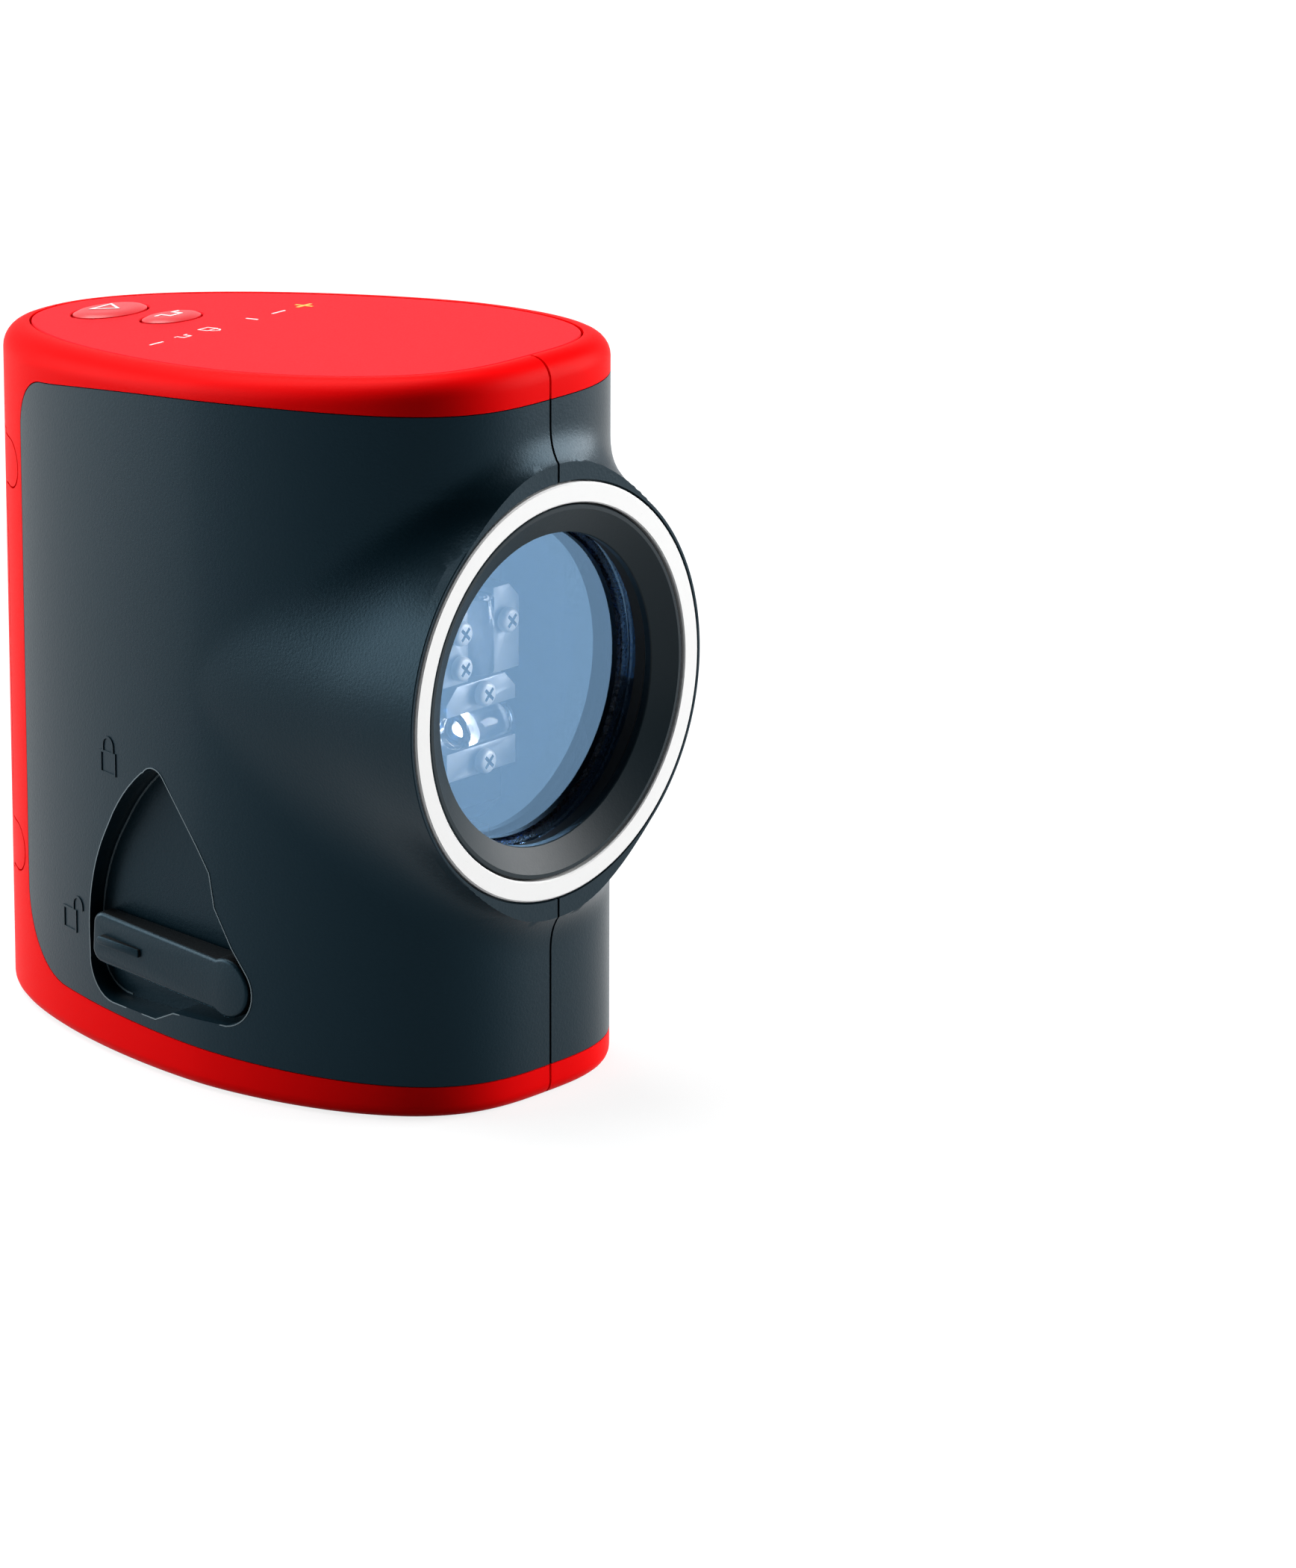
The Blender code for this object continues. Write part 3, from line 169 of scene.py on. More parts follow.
floor_mesh = bmesh.new()
bmesh.ops.create_grid(floor_mesh, x_segments=4, y_segments=4, size=FLOOR_HALF)
floor_data = bpy.data.meshes.new("floor")
floor_mesh.to_mesh(floor_data)
floor = bpy.data.objects.new("floor", floor_data)
bpy.context.scene.collection.objects.link(floor)
paper, paper_shader = finish("white_paper_sweep", "#7d7d7d", Roughness=0.9)
paths = put(paper, "ShaderNodeLightPath")
seen = paths.outputs["Is Camera Ray"]
for kind in ("Is Glossy Ray", "Is Transmission Ray"):
    seen = put(paper, "ShaderNodeMath", {0: seen, 1: paths.outputs[kind]}, operation="MAXIMUM").outputs[0]
glow = put(paper, "ShaderNodeMath", {0: seen, 1: PAPER_GLOW}, operation="MULTIPLY")
paper.node_tree.links.new(glow.outputs[0], paper_shader.inputs["Emission Strength"])
paper_shader.inputs["Emission Color"].default_value = linear("#ffffff")
floor_data.materials.append(paper)

softbox("rear_left_box", (-0.64, 0.97, 0.40), (0, 0, 0.06), 1.0, 0.8, 17, "#eefbff")
softbox("right_box", (0.95, -0.70, 0.34), (0, 0, 0.05), 0.8, 0.8, 25)
softbox("top_box", (0.05, 0.50, 1.10), (0, 0, 0.05), 0.9, 0.9, 18)
print("studio: floor and", len(bpy.data.lights), "lamps")

# %% [markdown]
# ## Moulded plastics
# The shell is ABS from a spark-eroded mould: a fine grain that scatters the gloss. The grain is about
# 0.15 mm on the real part and is drawn at 0.35 mm so that it shows. The grey is a soft-touch grade with
# a faint sheen where it turns away. The film plate and the keys are smoother. The lever's flanks are
# near-black, which is painted shade, and a paler grey paints highlights on the edges of the recess.


# %% Plastic finishes
DRIFT_MM = 30


def moulded(name, colour, dark, grain_mm, depth_mm, rough, **more):
    """Moulded plastic: slight drift in colour over centimetres, grain in the surface, uneven gloss."""
    mat, shader = finish(name, colour, IOR=1.53, **more)
    coords = put(mat, "ShaderNodeTexCoord").outputs["Object"]
    drift = put(mat, "ShaderNodeTexNoise", {"Vector": coords, "Scale": 1 / (DRIFT_MM * MM), "Detail": 3.0})
    shades = {0: drift.outputs["Fac"], 6: linear(colour), 7: linear(dark)}
    tone = put(mat, "ShaderNodeMix", shades, data_type="RGBA")
    mat.node_tree.links.new(tone.outputs[2], shader.inputs["Base Color"])
    grain = put(mat, "ShaderNodeTexNoise", {"Vector": coords, "Scale": 1 / (grain_mm * MM), "Detail": 2.0})
    uneven = {"Value": grain.outputs["Fac"], "To Min": rough - 0.06, "To Max": rough + 0.06}
    gloss = put(mat, "ShaderNodeMapRange", uneven)
    mat.node_tree.links.new(gloss.outputs[0], shader.inputs["Roughness"])
    relief = {"Height": grain.outputs["Fac"], "Strength": 1.0, "Distance": depth_mm * MM}
    bump = put(mat, "ShaderNodeBump", relief)
    mat.node_tree.links.new(bump.outputs["Normal"], shader.inputs["Normal"])
    return mat, shader


red_abs, _ = moulded("red_abs_satin", "#ec0306", "#e50305", 0.35, 0.012, 0.45, Specular_IOR_Level=0.02)
plate_abs, _ = moulded("red_keypad_film", "#f01420", "#ea121d", 0.25, 0.005, 0.50, Specular_IOR_Level=0.04)
key_abs, _ = moulded("red_key_cap", "#cc0f1a", "#c60d18", 0.25, 0.004, 0.34, Specular_IOR_Level=0.30)
soft_touch = {
    "Specular_IOR_Level": 0.24, "Specular_Tint": linear("#8fc0dc"),
    "Sheen_Weight": 0.50, "Sheen_Roughness": 0.14, "Sheen_Tint": linear("#8cc0dc"),
}
grey_soft, _ = moulded("grey_soft_touch", "#081a22", "#07171e", 0.35, 0.020, 0.34, **soft_touch)
# Painted highlight: a paler grey for the thin lines along the recess's edges.
edge_highlight_grey, _ = moulded("grey_painted_edge_highlight", "#5b6a72", "#556369", 0.40, 0.004, 0.35)
bezel_abs, _ = moulded("dark_bezel_abs", "#16242b", "#132026", 0.30, 0.010, 0.42, Specular_IOR_Level=0.15)
black_abs, _ = moulded("black_inner_abs", "#15171a", "#111315", 0.40, 0.020, 0.55)
# Painted shade: a near-black finish for the lever's flanks, standing in for the shade that falls on them.
flank_shade_black, _ = moulded("black_lever_flank_painted_shade", "#0a0c0e", "#08090b", 0.40, 0.010, 0.60,
                         Specular_IOR_Level=0.10)
ring_white, _ = moulded("white_ring_abs", "#f3f3f3", "#efefee", 0.30, 0.002, 0.30)
rubber, _ = moulded("black_rubber", "#0e0f10", "#0b0c0d", 0.50, 0.006, 0.70)
print("plastics:", [mat.name for mat in bpy.data.materials if mat != paper])

# %% [markdown]
# ## Metals, glass and boards
# The gimbal is die-cast zinc with a tumbled, cloudy face. The clamps are bead-blasted and the pendulum
# is blackened. The clamp screws are satin nickel, and their slots are near-black, which is painted
# shade. The window is drawn as a thin blue half-mirror that lets the rest of the light straight
# through, and faint polishing smears vary the gloss of all glass.


# %% Metal, glass and board finishes
def metal(name, colour, rough, streak_mm, depth_mm):
    """A metal face with cloudy gloss and fine marks."""
    mat, shader = finish(name, colour, Metallic=1.0)
    coords = put(mat, "ShaderNodeTexCoord").outputs["Object"]
    cloud = put(mat, "ShaderNodeTexNoise", {"Vector": coords, "Scale": 1 / (streak_mm * MM), "Detail": 4.0})
    uneven = {"Value": cloud.outputs["Fac"], "To Min": rough - 0.10, "To Max": rough + 0.10}
    gloss = put(mat, "ShaderNodeMapRange", uneven)
    mat.node_tree.links.new(gloss.outputs[0], shader.inputs["Roughness"])
    relief = {"Height": cloud.outputs["Fac"], "Strength": 1.0, "Distance": depth_mm * MM}
    bump = put(mat, "ShaderNodeBump", relief)
    mat.node_tree.links.new(bump.outputs["Normal"], shader.inputs["Normal"])
    return mat, shader


zinc, _ = metal("zinc_die_cast", "#c9ced4", 0.32, 0.9, 0.010)
blasted, blasted_shader = metal("bead_blasted_zinc", "#b3b9c0", 0.42, 0.9, 0.010)
blasted_shader.inputs["Metallic"].default_value = 0.6
dark_zinc, _ = metal("blackened_zinc", "#4b5057", 0.40, 0.9, 0.010)
steel, _ = metal("plated_steel", "#b9bdc2", 0.28, 0.4, 0.004)
bright, bright_shader = metal("satin_nickel_screw", "#fbfbf9", 0.45, 0.4, 0.002)
bright_shader.inputs["Metallic"].default_value = 0.2
# Painted shade: near-black for the walls and floor of the screws' cross slots.
slot_shade_black, _ = metal("slot_painted_shade", "#0c0d0e", 0.60, 0.3, 0.003)
brass, _ = metal("turned_brass", "#c9a35a", 0.30, 0.5, 0.006)
copper, _ = metal("copper_plate", "#c8795a", 0.35, 1.2, 0.006)
nickel, _ = metal("nickel_contact", "#c2c2bd", 0.25, 1.0, 0.004)
board_green, _ = moulded("solder_mask_green", "#1d5a35", "#184d2d", 1.5, 0.010, 0.40)
coated, coated_shader = finish("blue_coated_glass", "#a0d1ff", Metallic=1.0, Alpha=0.24)
rod_glass, rod_shader = finish("rod_lens_glass", "#f4f8ff", IOR=1.52, Transmission_Weight=1.0)
for mat, shader in ((coated, coated_shader), (rod_glass, rod_shader)):
    coords = put(mat, "ShaderNodeTexCoord").outputs["Object"]
    smear = put(mat, "ShaderNodeTexNoise", {"Vector": coords, "Scale": 1 / (6 * MM), "Detail": 2.0})
    haze = put(mat, "ShaderNodeMapRange", {"Value": smear.outputs["Fac"], "To Min": 0.015, "To Max": 0.045})
    mat.node_tree.links.new(haze.outputs[0], shader.inputs["Roughness"])
print("materials so far:", len(bpy.data.materials))

# %% [markdown]
# ## Tools for modelling
# Solids start as a few points that are extruded or spun. Booleans then carve one solid with another,
# and the result is set down as a piece that rides on its body and stands for the CAD node of the same
# part.


# %% Modelling helpers
SAME_POINT = 1e-7


def in_mm(pairs):
    """Pairs written in millimetres, as metres."""
    return [(a * MM, b * MM) for a, b in pairs]


def extruded(points, way):
    """A closed solid: a flat outline pushed along a way."""
    bm = bmesh.new()
    face = bm.faces.new([bm.verts.new(p) for p in points])
    grown = bmesh.ops.extrude_face_region(bm, geom=[face])
    tips = [g for g in grown["geom"] if isinstance(g, bmesh.types.BMVert)]
    bmesh.ops.translate(bm, vec=way, verts=tips)
    bmesh.ops.recalc_face_normals(bm, faces=bm.faces)
    return bm


def spun(profile, centre, axis, steps=96):
    """A profile of (radius, distance along the axis) spun a full turn round an axis."""
    bm = bmesh.new()
    side = Vector((1, 0, 0)) if abs(axis[0]) < 0.5 else Vector((0, 1, 0))
    points = [bm.verts.new(Vector(centre) + side * r + Vector(axis) * c) for r, c in profile]
    loop = [bm.edges.new(pair) for pair in zip(points, points[1:] + points[:1])]
    bmesh.ops.spin(bm, geom=points + loop, cent=centre, axis=axis, angle=2 * math.pi, steps=steps,
                   use_merge=True)
    bmesh.ops.remove_doubles(bm, verts=bm.verts, dist=SAME_POINT)
    # An edge that lies on the axis sweeps no face and stays behind loose.
    bmesh.ops.delete(bm, geom=[e for e in bm.edges if e.is_wire], context="EDGES")
    bmesh.ops.recalc_face_normals(bm, faces=bm.faces)
    return bm


def lump(bm, name="tool"):
    """A plain object from a bmesh."""
    mesh = bpy.data.meshes.new(name)
    bm.to_mesh(mesh)
    bm.free()
    obj = bpy.data.objects.new(name, mesh)
    bpy.context.scene.collection.objects.link(obj)
    return obj


def carve(obj, bm, operation="DIFFERENCE"):
    """Cut, join or intersect an object with the solid in a bmesh."""
    tool = lump(bm)
    step = obj.modifiers.new("carve", "BOOLEAN")
    step.object, step.operation, step.solver = tool, operation, "MANIFOLD"
    done = bpy.data.meshes.new_from_object(obj.evaluated_get(bpy.context.evaluated_depsgraph_get()))
    obj.modifiers.clear()
    obj.data = done
    bpy.data.objects.remove(tool)
    return obj


def soften(bm, width, angle=40, segments=2):
    """Round the sharp edges of a bmesh."""
    sharp = [e for e in bm.edges if e.is_manifold and e.calc_face_angle() > math.radians(angle)]
    bmesh.ops.bevel(bm, geom=sharp, offset=width, offset_type="OFFSET", affect="EDGES",
                    segments=segments, profile=0.5, material=-1, clamp_overlap=True)
    return bm


def set_down(obj, name, body, mat, stands_for=(), angle=35):
    """Name a piece, give it its finish, let it ride on its body and stand for CAD nodes."""
    obj.name = obj.data.name = name
    obj.data.materials.clear()
    obj.data.materials.append(mat)
    obj.data.shade_smooth()
    obj.data.set_sharp_from_angle(angle=math.radians(angle))
    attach(obj, body)
    if stands_for:
        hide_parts(*stands_for)
    print("piece", name, len(obj.data.polygons), "faces")


print("helpers ready")

# %% [markdown]
# ## The body's form
# From above the body is an egg: two half super-ellipses that share their widest section. Its walls
# stand upright, the top slopes back, and the lens collar is a level cylinder that melts into the nose
# through a hollow fillet. The melt comes from a smooth minimum of two distances, so the skin is found
# by stepping outwards until that minimum is zero.

# %% The body's outline and skin
HALF_W, NOSE, TAIL = 27.2 * MM, 35.3 * MM, 53.5 * MM
TOP_H, TOP_SLOPE = 93.298 * MM, 0.0805
TOP_ROUND, BASE_ROUND = 3.1 * MM, 1.9 * MM
LENS_Z, COLLAR_R, BLEND = 53.4 * MM, 27.15 * MM, 7.0 * MM
COLLAR_Y = Y0 - 36.65 * MM
COLLAR_REACH, LEAST_MELT = 9.0 * MM, 0.03 * MM
NOSE_POWERS, TAIL_POWERS = (3.03, 1.86), (2.2, 1.66)
FAR = 200 * MM


def top_z(y):
    """Height of the sloping top."""
    return TOP_H - TOP_SLOPE * (y - Y0)


def egg(angle):
    """A point of the outline from above, counted from the widest section. Angle 0 is the nose."""
    s, c = math.sin(angle), math.cos(angle)
    reach, (wide, long) = (-NOSE, NOSE_POWERS) if c > 0 else (TAIL, TAIL_POWERS)
    return Vector((math.copysign(abs(s) ** (2 / wide) * HALF_W, s), abs(c) ** (2 / long) * reach))


def even_angles(count):
    """Angles that step round the outline in even lengths, from the nose by way of the tail."""
    last = 4000
    fine = [math.pi * i / last for i in range(last + 1)]
    run = [0.0]
    for a, b in zip(fine, fine[1:]):
        run.append(run[-1] + (egg(b) - egg(a)).length)
    half, i = [], 0
    for k in range(count // 2 + 1):
        goal = run[-1] * k / (count // 2)
        while i < last and run[i] < goal - 1e-9:
            i += 1
        half.append(fine[i])
    return half + [2 * math.pi - a for a in half[-2:0:-1]]


def egg_inset(angle, inset):
    """A point of the outline moved inwards, in the frame's x and y."""
    step = 0.003
    along = egg(angle + step) - egg(angle - step)
    along.normalize()
    at = egg(angle)
    return at.x - along.y * inset, Y0 + at.y + along.x * inset


def skin(angle, z):
    """A point of the wall at a height, with the collar melted in."""
    at = egg(angle)
    if at.y > -0.3 * MM:
        return at.x, Y0 + at.y
    body_r = at.length
    way = at / body_r

    def outside(r):
        """How far a point at this radius lies outside the melted body."""
        forward = -r * way.y
        from_body = r - body_r
        from_axis = math.hypot(r * way.x, z - LENS_Z)
        from_collar = max(from_axis - COLLAR_R, forward - NOSE - COLLAR_REACH)
        melt = max(BLEND * min(1.0, forward / NOSE), LEAST_MELT)
        near = max(melt - abs(from_body - from_collar), 0.0) / melt
        return min(from_body, from_collar) - near * near * melt / 4

    low, high = body_r, 150 * MM
    if outside(low) > 0:
        return at.x, Y0 + at.y
    for _ in range(36):
        middle = (low + high) / 2
        low, high = (middle, high) if outside(middle) < 0 else (low, middle)
    return low * way.x, Y0 + low * way.y


RING = even_angles(220)
heights = [round(top_z(y) / MM, 1) for y in (Y0 - NOSE, Y0 + TAIL)]
print("outline:", len(RING), "points, top at", heights, "mm")

# %% [markdown]
# ## The shell in one piece
# A flat grid is wrapped round the egg, row by row: a rounded foot, the upright wall with rows gathered
# round the collar, and the rounded rim that follows the slope. Its two open ends are filled, which
# makes one closed blank. The collar's mouth is then cut flat, and a thin lip is joined on to keep its
# edge crisp.


# %% Wrap a grid into the blank
def wall_rows():
    """The rows of the wrapped grid from the foot up: kind of row and two measures."""
    rows = []
    for k in range(7):
        a = math.pi / 2 * k / 6
        rows.append(("foot", BASE_ROUND * (1 - math.sin(a)), BASE_ROUND * (1 - math.cos(a))))
    low, high = LENS_Z - COLLAR_R, LENS_Z + COLLAR_R
    rows += [("level", BASE_ROUND + (low - BLEND - BASE_ROUND) * k / 5, 0) for k in range(1, 6)]
    rows += [("level", low - BLEND + BLEND * k / 8, 0) for k in range(1, 8)]
    rows += [("level", LENS_Z - COLLAR_R * math.cos(math.pi * k / 52), 0) for k in range(53)]
    rows += [("above", share / 14, high) for share in range(1, 14)]
    for k in range(9):
        a = math.pi / 2 * (1 - k / 8)
        rows.append(("rim", TOP_ROUND * (1 - math.sin(a)), TOP_ROUND * (1 - math.cos(a))))
    return rows


def row_point(row, angle):
    """The point of a row at an angle."""
    kind, a, b = row
    if kind == "foot":
        return (*egg_inset(angle, a), b)
    if kind == "level":
        return (*skin(angle, a), a)
    if kind == "above":
        z = b + a * (top_z(Y0 + egg(angle).y) - TOP_ROUND - b)
        return (*skin(angle, z), z)
    x, y = egg_inset(angle, a)
    return x, y, top_z(y) - b


def wrapped_blank():
    """The closed outside of the body as a bmesh."""
    rows = wall_rows()
    bm = bmesh.new()
    bmesh.ops.create_grid(bm, x_segments=len(RING), y_segments=len(rows) - 1, size=0.5)
    for vert in bm.verts:
        column = round((vert.co.x + 0.5) * len(RING)) % len(RING)
        row = round((vert.co.y + 0.5) * (len(rows) - 1))
        vert.co = row_point(rows[row], RING[column])
    bmesh.ops.remove_doubles(bm, verts=bm.verts, dist=SAME_POINT)
    ends = [e for e in bm.edges if e.is_boundary]
    bmesh.ops.holes_fill(bm, edges=ends, sides=0)
    bmesh.ops.recalc_face_normals(bm, faces=bm.faces)
    return bm


shell = lump(wrapped_blank(), "shell")
ahead_of_mouth = [(-FAR, -FAR, -FAR), (FAR, -FAR, -FAR), (FAR, -FAR, FAR), (-FAR, -FAR, FAR)]
carve(shell, extruded(ahead_of_mouth, (0, FAR + COLLAR_Y, 0)))
lip = [(25.5, -36.65), (27.3, -36.65), (27.4, -36.55), (27.4, -35.1), (25.5, -35.1)]
carve(shell, spun(in_mm(lip), (0, Y0, LENS_Z), (0, 1, 0), 180), "UNION")
print("blank:", len(shell.data.polygons), "faces")

# %% [markdown]
# ## Hollowing and boring
# The blank is hollowed to a 2.2 mm wall. Screw bosses, two shelves and the tub behind the lever stay
# standing inside, because they are cut out of the core first. Then come the stepped lens bore, the seat
# of the top plate and the holes.

# %% Outlines that cut the shell
SCREWS = [(-25.0, 95.31 - 9.5), (-25.0, 12.0), (32.0, 90.72 - 10.7), (12.5, 15.2)]
LEVER_Y, LEVER_Z = Y0 - 3.8 * MM, 14.0 * MM
REST = math.radians(3.5)
WALL, ROOF, BASE = 2.2 * MM, 2.9 * MM, 2.4 * MM
RECESS_X, SEAM = -21.9 * MM, 0.19 * MM


def rod(axis, centre, radius, low, high, steps=48):
    """A cylinder along x or z, as a bmesh."""
    way = {"X": (1, 0, 0), "Z": (0, 0, 1)}[axis]
    return spun([(0, low), (radius, low), (radius, high), (0, high)], centre, way, steps)


def slab(inset, top_depth, base_depth):
    """The outline moved inwards, between two depths below the sloping top."""
    flat = [egg_inset(a, inset) for a in RING]
    return extruded([(x, y, top_z(y) - base_depth) for x, y in flat], (0, 0, base_depth - top_depth))


def side_prism(outline, low=-FAR, high=FAR):
    """A side-view outline of (y, z) run across the body."""
    return extruded([(low, y, z) for y, z in outline], (high - low, 0, 0))


def arc(centre, radius, start, end, steps):
    """Points on an arc, angles in degrees."""
    turns = [math.radians(start + (end - start) * i / steps) for i in range(steps + 1)]
    return [(centre[0] + radius * math.cos(t), centre[1] + radius * math.sin(t)) for t in turns]


def recess(grow=0.0):
    """The lever's recess from the side: a fan behind the tip, a hub end, and a stepped front edge."""
    hub = (LEVER_Y, LEVER_Z)
    points = []
    for k in range(19):
        a = -3.5 + 64.5 * k / 18
        reach = 25.8 + 2.2 * max(a, 0) / 60.5 + 1.1 * max(a - 38, 0) / 22
        points += arc(hub, reach * MM + grow, a, a, 1)[:1]
    points += arc((Y0 + 8.1 * MM, 38.2 * MM), 2.4 * MM + grow, 38, 140, 10)
    front = [(0.2, 32.2), (-1.9, 29.0), (-2.7, 24.6), (-5.4, 19.8)]
    points += [(Y0 + y * MM - grow, z * MM) for y, z in front]
    points += arc(hub, 4.7 * MM + grow, 150, 262, 12)
    points += [(hub[0] + y * MM, hub[1] - z * MM - grow) for y, z in ((8.6, 5.0), (12.0, 6.6))]
    end = hub[0] + 25.8 * MM + grow
    points += arc((end - 5 * MM, hub[1] - 1.6 * MM - grow), 5 * MM, -90, -4, 8)
    return points


print("recess:", len(recess()), "points")


# %% Hollow the shell
def core():
    """The hollow inside, less what stands in it."""
    flat = [egg_inset(a, WALL) for a in RING]
    bm = extruded([(x, y, top_z(y) - ROOF) for x, y in flat], (0, 0, -1.0 * MM))
    for vert in bm.verts:
        if vert.co.z < top_z(vert.co.y) - ROOF - 0.5 * MM:
            vert.co.z = BASE
    inside = lump(bm, "core")
    for y, z in SCREWS:
        carve(inside, rod("X", (0, Y0 + y * MM, z * MM), 3.9 * MM, -FAR, FAR))
    front, rear = Y0 - 12 * MM, Y0 - 4 * MM
    under, over = 77.5 * MM, 80.7 * MM
    shelf = [(front, under), (rear, under), (rear, over), (front, over)]
    for low, high in ((-FAR, -15.9 * MM), (15.9 * MM, FAR)):
        carve(inside, side_prism(shelf, low, high))
    carve(inside, side_prism(recess(1.2 * MM), -FAR, -20.2 * MM))
    return inside


hollow = core()
tool = bmesh.new()
tool.from_mesh(hollow.data)
bpy.data.objects.remove(hollow)
carve(shell, tool)
bore = [(0, -90), (27.0, -90), (27.0, -35.35), (24.7, -35.35)]
bore += [(24.7, -25.85), (22.0, -25.85), (22.0, -7.85), (0, -7.85)]
carve(shell, spun(in_mm(bore), (0, Y0, LENS_Z), (0, 1, 0), 144))
carve(shell, slab(3.4 * MM, -FAR, 1.5 * MM))
carve(shell, slab(6.2 * MM, -FAR, 5.1 * MM))
carve(shell, rod("Z", (0, 0, 0), 5.3 * MM, -FAR, 2.7 * MM))
hole = [(0, -8.3), (1.6, -8.3), (1.6, 12.0), (2.7, 12.0), (2.7, 90), (0, 90)]
for y, z in SCREWS:
    carve(shell, spun(in_mm(hole), (0, Y0 + y * MM, z * MM), (1, 0, 0), 40))
for x in (-19.2 * MM, 19.2 * MM):
    carve(shell, rod("Z", (x, Y0 - 8 * MM, 0), 1.6 * MM, 75 * MM, 82 * MM, 24))
print("shell:", len(shell.data.polygons), "faces")

# %% [markdown]
# ## Two colours, two halves and a door
# On the real body the grey panels are moulded into the red frame. Here a side-view outline parts the
# two colours, a second outline parts the battery door with its snap ears, and a cut on the middle line
# parts the left and right half. A dark tongue fills the cut so that no light shows through it. Normals
# weighted by area keep the gloss even where the cuts leave thin faces.


# %% Part the shell into its pieces
def panel_outline(grow):
    """The grey panel's edge from the side."""
    def crest(y):
        return top_z(y) - 3.4 * MM - 1.6 * (y - Y0) ** 2 + grow

    def foot(y):
        return 5.45 * MM + 0.034 * (y - Y0) - grow

    rear = Y0 + 39 * MM + grow
    points = [(-FAR, foot(Y0 - NOSE)), (Y0 - NOSE, foot(Y0 - NOSE))]
    low_r, high_r = 11 * MM, 7.5 * MM
    points += arc((rear - low_r, foot(rear - low_r) + low_r), low_r, -90, 0, 14)
    start = rear - high_r
    points += arc((start, crest(start) - high_r), high_r, 0, 86, 12)
    points += [(y, crest(y)) for y in [start + (Y0 - NOSE - start) * k / 30 for k in range(1, 31)]]
    return points + [(-FAR, crest(Y0 - NOSE))]


def door_outline(grow):
    """The door's edge from the side, with two round ears."""
    edge = Y0 + 46 * MM - grow
    ear = 3.1 * MM + grow
    points = [(FAR, 17 * MM - grow), (edge, 17 * MM - grow)]
    for z in (20.7 * MM, 72.3 * MM):
        points.append((edge, z - ear))
        points += arc((Y0 + 43.6 * MM, z), ear, -90, -270, 16)
        points.append((edge, z + ear))
    return points + [(edge, 76 * MM + grow), (FAR, 76 * MM + grow)]


def copy_of(obj):
    """A second object with its own mesh."""
    other = bpy.data.objects.new("copy", obj.data.copy())
    bpy.context.scene.collection.objects.link(other)
    return other


def edge_round(obj, width_mm):
    """Small rounded edges, as a mould leaves them."""
    step = obj.modifiers.new("edge_round", "BEVEL")
    step.width, step.segments, step.limit_method = width_mm * MM, 2, "ANGLE"
    step.angle_limit = math.radians(50)


def even_gloss(obj):
    """Shading normals that follow the large faces, so thin cut faces leave no streaks."""
    step = obj.modifiers.new("even_gloss", "WEIGHTED_NORMAL")
    step.keep_sharp = True


door = carve(copy_of(shell), side_prism(door_outline(0)), "INTERSECT")
set_down(door, "battery_door_skin", "door", red_abs, ["battery_door"])
even_gloss(door)
carve(shell, side_prism(door_outline(0.25 * MM)))
tongue = copy_of(shell)
shrink, thin = 0.010, 0.18 * MM
for vert in tongue.data.vertices:
    vert.co.y += shrink * (Y0 + 8 * MM - vert.co.y)
    vert.co.z += shrink * (48 * MM - vert.co.z)
sheet = [(-thin, -FAR, -FAR), (thin, -FAR, -FAR), (thin, FAR, -FAR), (-thin, FAR, -FAR)]
carve(tongue, extruded(sheet, (0, 0, 2 * FAR)), "INTERSECT")
set_down(tongue, "seam_tongue", "housing", grey_soft)
for side, hand in ((-1, "left"), (1, "right")):
    low, high = sorted((side * SEAM, -side * FAR))
    other = [(low, -FAR, -FAR), (high, -FAR, -FAR), (high, FAR, -FAR), (low, FAR, -FAR)]
    half = carve(copy_of(shell), extruded(other, (0, 0, 2 * FAR)))
    panel = carve(copy_of(half), side_prism(panel_outline(0)), "INTERSECT")
    red = carve(half, side_prism(panel_outline(0.12 * MM)))
    if side < 0:
        carve(panel, side_prism(recess(), -FAR, RECESS_X))
        carve(panel, rod("X", (0, LEVER_Y, LEVER_Z), 2.6 * MM, -FAR, 0))
    set_down(red, hand + "_frame_skin", "housing", red_abs, [hand + "_frame"])
    set_down(panel, hand + "_panel_skin", "housing", grey_soft, [hand + "_panel"])
    even_gloss(red)
    even_gloss(panel)
bpy.data.objects.remove(shell)

# %% [markdown]
# ## Top plate and keys
# A red film plate is let into the top with a hair-line gap. The two keys are shallow domes with a fine
# groove round them.


# %% Plate and keys
def ellipse(rx, ry, y, steps=48):
    """Points of an ellipse on the middle line, from above."""
    turns = [2 * math.pi * k / steps for k in range(steps)]
    return [(rx * math.cos(t), y + ry * math.sin(t)) for t in turns]


KEYS = {"power": (40.4, 5.3, 4.3), "pulse": (29.4, 4.2, 3.4)}
GAP = 0.30
DOME = ((0.45, 0.22), (0.8, 0.16), (1.0, 0.02))
plate = lump(slab(3.7 * MM, 0.0, 1.2 * MM), "plate")
for y, rx, ry in KEYS.values():
    ring = ellipse((rx + GAP) * MM, (ry + GAP) * MM, Y0 + y * MM)
    carve(plate, extruded([(px, py, 60 * MM) for px, py in ring], (0, 0, 60 * MM)))
set_down(plate, "top_plate_skin", "housing", plate_abs, ["top_plate"])
edge_round(plate, 0.18)

for name, (y, rx, ry) in KEYS.items():
    ring = ellipse(rx * MM, ry * MM, Y0 + y * MM)
    bm = extruded([(px, py, top_z(py) - 2.0 * MM) for px, py in ring], (0, 0, 2.05 * MM))
    cap = max(bm.faces, key=lambda f: f.calc_center_median().z)
    for shrink, rise in DOME:
        bmesh.ops.inset_region(bm, faces=[cap], thickness=shrink * MM, use_even_offset=True)
        bmesh.ops.translate(bm, vec=(0, 0, rise * MM), verts=cap.verts)
    set_down(lump(bm), name + "_key_cap", name + "_key", key_abs, [name + "_button"])

